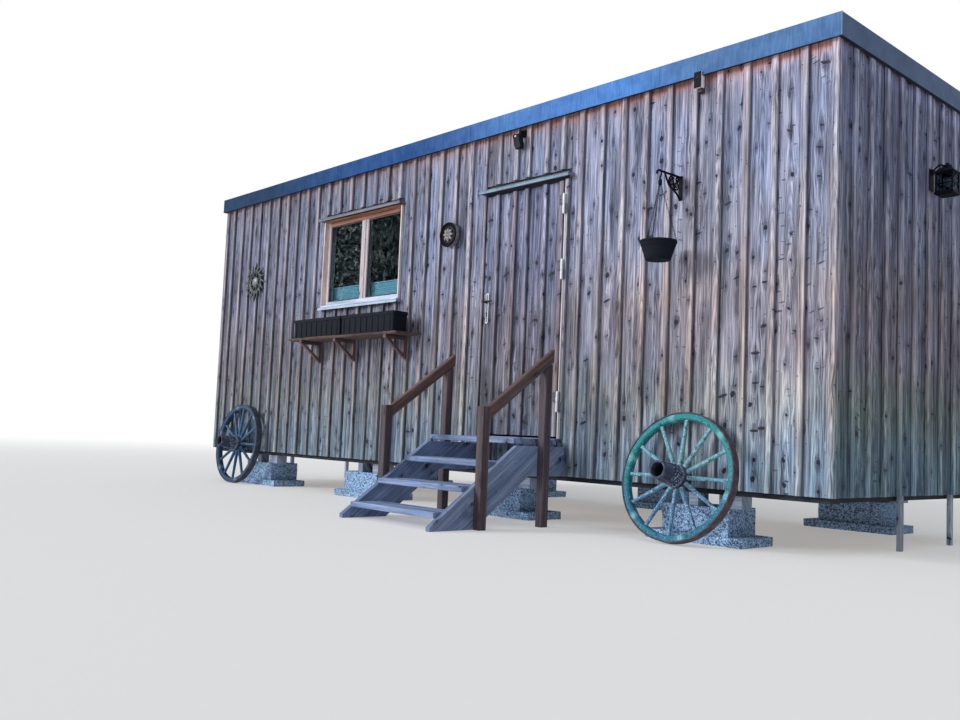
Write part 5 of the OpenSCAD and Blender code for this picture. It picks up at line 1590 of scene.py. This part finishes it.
def build_wheels():
    """Two wagon wheels: felloes, tyres, spokes and naves."""
    axle = Matrix.Rotation(-pi / 2, 4, "X")
    rims, tyres, spokes, hubs = Pile(), Pile(), Pile(), Pile()
    rng = random.Random(79)
    # The wheel's number picks its paint and rust: the second, left wheel takes the shaded copies, painted
    # shade
    for number, (d, lean) in enumerate(WHEELS):
        place = wheel_place(d, lean)
        spin = place @ axle
        rim_r, rim_in = TYRE_R - TYRE_T, TYRE_R - TYRE_T - RIM_T
        y0 = (TYRE_W - RIM_W) / 2
        y1 = y0 + RIM_W
        profile = [(rim_r - 0.0002, y0 + 0.002), (rim_r - 0.0002, y1 - 0.002), (rim_r - 0.003, y1),
                   (rim_in + 0.009, y1), (rim_in, y1 - 0.010), (rim_in, y0 + 0.010), (rim_in + 0.009, y0),
                   (rim_r - 0.003, y0)]

        # Six felloes with narrow gaps
        for k in range(6):
            start = 60 * k + 15 + 0.14
            lathe(rims, profile, spin, 20, number, True, (start, start + 60 - 0.28))

        # The tyre's four outer points are dented a little, and it lies on the rim with the other two
        ring = [(TYRE_R - 0.0012, 0.0), (TYRE_R, 0.002), (TYRE_R, TYRE_W - 0.002),
                (TYRE_R - 0.0012, TYRE_W), (rim_r, TYRE_W), (rim_r, 0.0)]
        segs = 120
        points = []
        for j in range(segs):
            a = 2 * pi * j / segs
            dent = 0.0007 * noise.noise((3 * cos(a), 3 * sin(a), 4.0 * number))
            for i, (r, h) in enumerate(ring):
                r = r - abs(dent) if i < 4 else r
                points.append((r * cos(a), r * sin(a), h))
        tyres.add(points, turned_faces(segs, segs, len(ring), True), None, number, spin)

        # Twelve spokes, thinner towards the rim
        for k in range(12):
            turn = place @ Matrix.Rotation(radians(30 * k), 4, "Y")
            stations = 14
            points, grain = [], []
            own = rng.random()
            for j in range(stations + 1):
                t = j / stations
                r = 0.074 + (rim_in + 0.006 - 0.074) * t
                wide = 0.0158 - 0.005 * t + 0.003 * max(0.0, t - 0.86) / 0.14
                deep = 0.0178 - 0.005 * t
                for i in range(14):
                    a = 2 * pi * i / 14
                    ca, sa = cos(a), sin(a)
                    px = wide * copysign(abs(ca) ** 0.8, ca)
                    py = TYRE_W / 2 + deep * copysign(abs(sa) ** 0.8, sa)
                    points.append((px, py, r))
                    grain.append((px + 0.7 * py, r, own))
            spokes.add(points, strip_faces(stations + 1, 14), grain, number, turn)

        # Nave in three lengths, with two bands and an iron bush
        nave = [(0.0475, -0.1985), (0.0555, -0.1995), (0.0582, -0.196), (0.0582, -0.173),
                (0.0592, -0.171), (0.0615, -0.150), (0.0640, -0.118), (0.0655, -0.106)]
        lathe(hubs, nave, spin, 56, 0)
        nave = [(0.0655, -0.106), (0.0672, -0.094), (0.0700, -0.070), (0.0722, -0.045), (0.0735, -0.034),
                (0.0765, -0.030), (0.0765, -0.014), (0.0735, -0.011)]
        lathe(hubs, nave, spin, 56, 2)
        nave = [(0.0735, -0.011), (0.079, -0.004), (0.0795, 0.070), (0.075, 0.074),
                (0.075, 0.084), (0.065, 0.089), (0.0475, 0.0895), (0.0475, -0.1985)]
        lathe(hubs, nave, spin, 56, 0)
        for r, low, high in ((0.0582, -0.1990, -0.1735), (0.0785, -0.031, -0.013)):
            band = [(r, low), (r + 0.0012, low + 0.001), (r + 0.0012, high - 0.001), (r, high),
                    (r - 0.004, high), (r - 0.004, low)]
            lathe(hubs, band, spin, 56, 3 if low < -0.1 else 2, True)
        lathe(hubs, [(0.0478, -0.165), (0.0478, 0.08), (0.0455, 0.08), (0.0455, -0.165)], spin, 40, 1,
              True)
    rims.piece("felloes", "cabin", ("teal", "rim_in_shade"), "rim_paint", ("wheel_rims",))
    tyres.piece("tyres", "cabin", ("tyre", "tyre_in_shade"), "rusty_iron", ("wheel_tyres",))
    spokes.piece("spokes", "cabin", ("spoke", "spoke_in_shade"), "spoke_paint", ("wheel_spokes",), 50.0)
    hubs.piece("naves", "cabin", ("hub", "steel", "worn_hub", "hub_iron"), "hub_wood", ("wheel_hubs",))


# Support

def build_support():
    """Granite blocks, packers and the slim props at both ends."""
    rng = random.Random(91)
    piers = (0.980, 2.845, 4.715, 6.580)
    pile = Pile()

    def stone(lo, hi, rough):
        """A block whose sides are pressed in by a little noise."""
        counts = [max(3, int((hi[i] - lo[i]) / 0.035)) for i in range(3)]
        index, points = {}, []
        for i in range(counts[0] + 1):
            for j in range(counts[1] + 1):
                for k in range(counts[2] + 1):
                    if i in (0, counts[0]) or j in (0, counts[1]) or k in (0, counts[2]):
                        p = Vector([lo[a] + (hi[a] - lo[a]) * (i, j, k)[a] / counts[a] for a in range(3)])
                        inward = Vector([(-1 if (i, j, k)[a] == counts[a] else 1)
                                         * ((i, j, k)[a] in (0, counts[a])) for a in range(2)] + [0])
                        p += inward * rough * (0.5 + 0.9 * noise.noise(p * 9.0))
                        index[i, j, k] = len(points)
                        points.append(p)
        faces = []
        for axis in range(3):
            a, b = [(1, 2), (2, 0), (0, 1)][axis]
            for end in (0, counts[axis]):
                for m in range(counts[a]):
                    for n in range(counts[b]):
                        corner = []
                        for da, db in ((0, 0), (1, 0), (1, 1), (0, 1)):
                            key = [0, 0, 0]
                            key[axis], key[a], key[b] = end, m + da, n + db
                            corner.append(index[tuple(key)])
                        faces.append(tuple(corner if end else reversed(corner)))
        pile.add(points, faces)

    for at in piers:
        for y in (0.050, BODY_D - 0.370):
            lo, hi = near_wall(at - 0.260, at + 0.260, y, y + 0.320, -0.300, -0.120)
            stone(lo, hi, 0.004)
            lo, hi = near_wall(at - 0.375, at + 0.375, y - 0.030, y + 0.350, -FOOT, -0.300)
            stone(lo, hi, 0.005)
    pile.piece("granite_blocks", "cabin", ("granite",), "granite", ("stone_piers",), 50.0)

    pile = Pile()
    for at in piers:
        for y in (0.060, BODY_D - 0.180):
            for d0, d1 in ((-0.345, -0.180), (-0.020, 0.050)):
                plank(pile, *near_wall(at + d0, at + d1, y, y + 0.120, -0.1198, -0.0352), 0, rng, 0.003,
                      2, 0.0004)
    for at in (0.046, BODY_L - 0.076):
        for y in (1.010, 1.820):
            plank(pile, *near_wall(at, at + 0.030, y, y + 0.045, -FOOT, 0.0198), 2, rng, 0.003, 3, 0.0004)
    pile.piece("packers", "cabin", ("raw",), "raw_timber", ("timber_packers",))


build_cladding()
build_roof_edge()
build_flashings()
build_window()
build_door()
build_stair()
build_shelf()
build_pot()
build_lamps()
build_plaques()
build_wheels()
build_support()

CAD_LOOKS = {
    "room_wall": ("front_wall_left", "front_wall_at_window", "front_wall_middle", "front_wall_over_door",
                  "front_wall_right", "back_wall", "end_walls", "roof_deck", "floor_cassette"),
    "room_floor": ("floor_boards",),
    "steel": ("chassis_beams", "cross_beams"),
    "membrane": ("roof_membrane",),
    "pane": ("window_glass",),
}
for look, names in CAD_LOOKS.items():
    for name in names:
        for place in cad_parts[name].material_slots:
            place.material = MAT[look]


# Stage and light

FLOOR_COLOUR = (0.78, 0.78, 0.77)
FLOOR_R = 150
WHITE = (1.0, 1.0, 1.0)
SKY_COLOUR = (0.88, 0.94, 1.0)
SKY_STRENGTH = 0.42

# Lamps: name, direction of the light, strength and softness in degrees
LAMPS = (("key", (0.50, 0.76, -0.31), 2.42, 24.0), ("fill", (-0.35, 0.5, -0.8), 0.4, 60.0))


def build_stage():
    """A pale floor that fades to white, soft light from all sides and two lamps."""
    s = Shader("floor_paper", rough=0.95)
    far = s.math("SQRT", s.x * s.x + s.y * s.y)
    s.colour(FLOOR_COLOUR)
    glow = s.put("ShaderNodeEmission")
    s.set(glow, "Color", WHITE)
    fade = s.put("ShaderNodeMixShader")
    s.set(fade, 0, s.step(far, 7.0, 24.0, (0.3, 1.0)))
    s.tree.links.new(s.bsdf.outputs[0], fade.inputs[1])
    s.tree.links.new(glow.outputs[0], fade.inputs[2])
    s.tree.links.new(fade.outputs[0], s.out.inputs[0])
    mesh = bpy.data.meshes.new("floor")
    angles = [k * pi / 32 for k in range(64)]
    rim = [(FLOOR_R * cos(a), FLOOR_R * sin(a), -0.0005) for a in angles]
    mesh.from_pydata(rim, [], [tuple(range(64))])
    mesh.materials.append(s.mat)
    floor = bpy.data.objects.new("floor", mesh)
    bpy.context.scene.collection.objects.link(floor)

    world = bpy.data.worlds.new("studio")
    bpy.context.scene.world = world
    world.use_nodes = True
    tree = world.node_tree
    tree.nodes.clear()

    # Soft light on the object, plain white where the camera, a mirror or a pane looks past it
    out = tree.nodes.new("ShaderNodeOutputWorld")
    lamp = tree.nodes.new("ShaderNodeBackground")
    lamp.inputs["Color"].default_value = (*SKY_COLOUR, 1.0)
    lamp.inputs["Strength"].default_value = SKY_STRENGTH
    seen = tree.nodes.new("ShaderNodeBackground")
    seen.inputs["Color"].default_value = (*WHITE, 1.0)
    path = tree.nodes.new("ShaderNodeLightPath")
    sky_rays = path.outputs["Is Camera Ray"]
    for kind in ("Is Glossy Ray", "Is Transmission Ray"):
        either = tree.nodes.new("ShaderNodeMath")
        either.operation = "MAXIMUM"
        tree.links.new(sky_rays, either.inputs[0])
        tree.links.new(path.outputs[kind], either.inputs[1])
        sky_rays = either.outputs[0]
    pick = tree.nodes.new("ShaderNodeMixShader")
    tree.links.new(sky_rays, pick.inputs[0])
    tree.links.new(lamp.outputs[0], pick.inputs[1])
    tree.links.new(seen.outputs[0], pick.inputs[2])
    tree.links.new(pick.outputs[0], out.inputs[0])

    for name, aim, power, spread in LAMPS:
        light = bpy.data.lights.new(name, "SUN")
        light.energy = power
        light.angle = radians(spread)
        holder = bpy.data.objects.new(name, light)
        holder.rotation_euler = Vector(aim).to_track_quat("-Z", "Y").to_euler()
        bpy.context.scene.collection.objects.link(holder)


build_stage()
bpy.context.scene.view_settings.view_transform = "Standard"
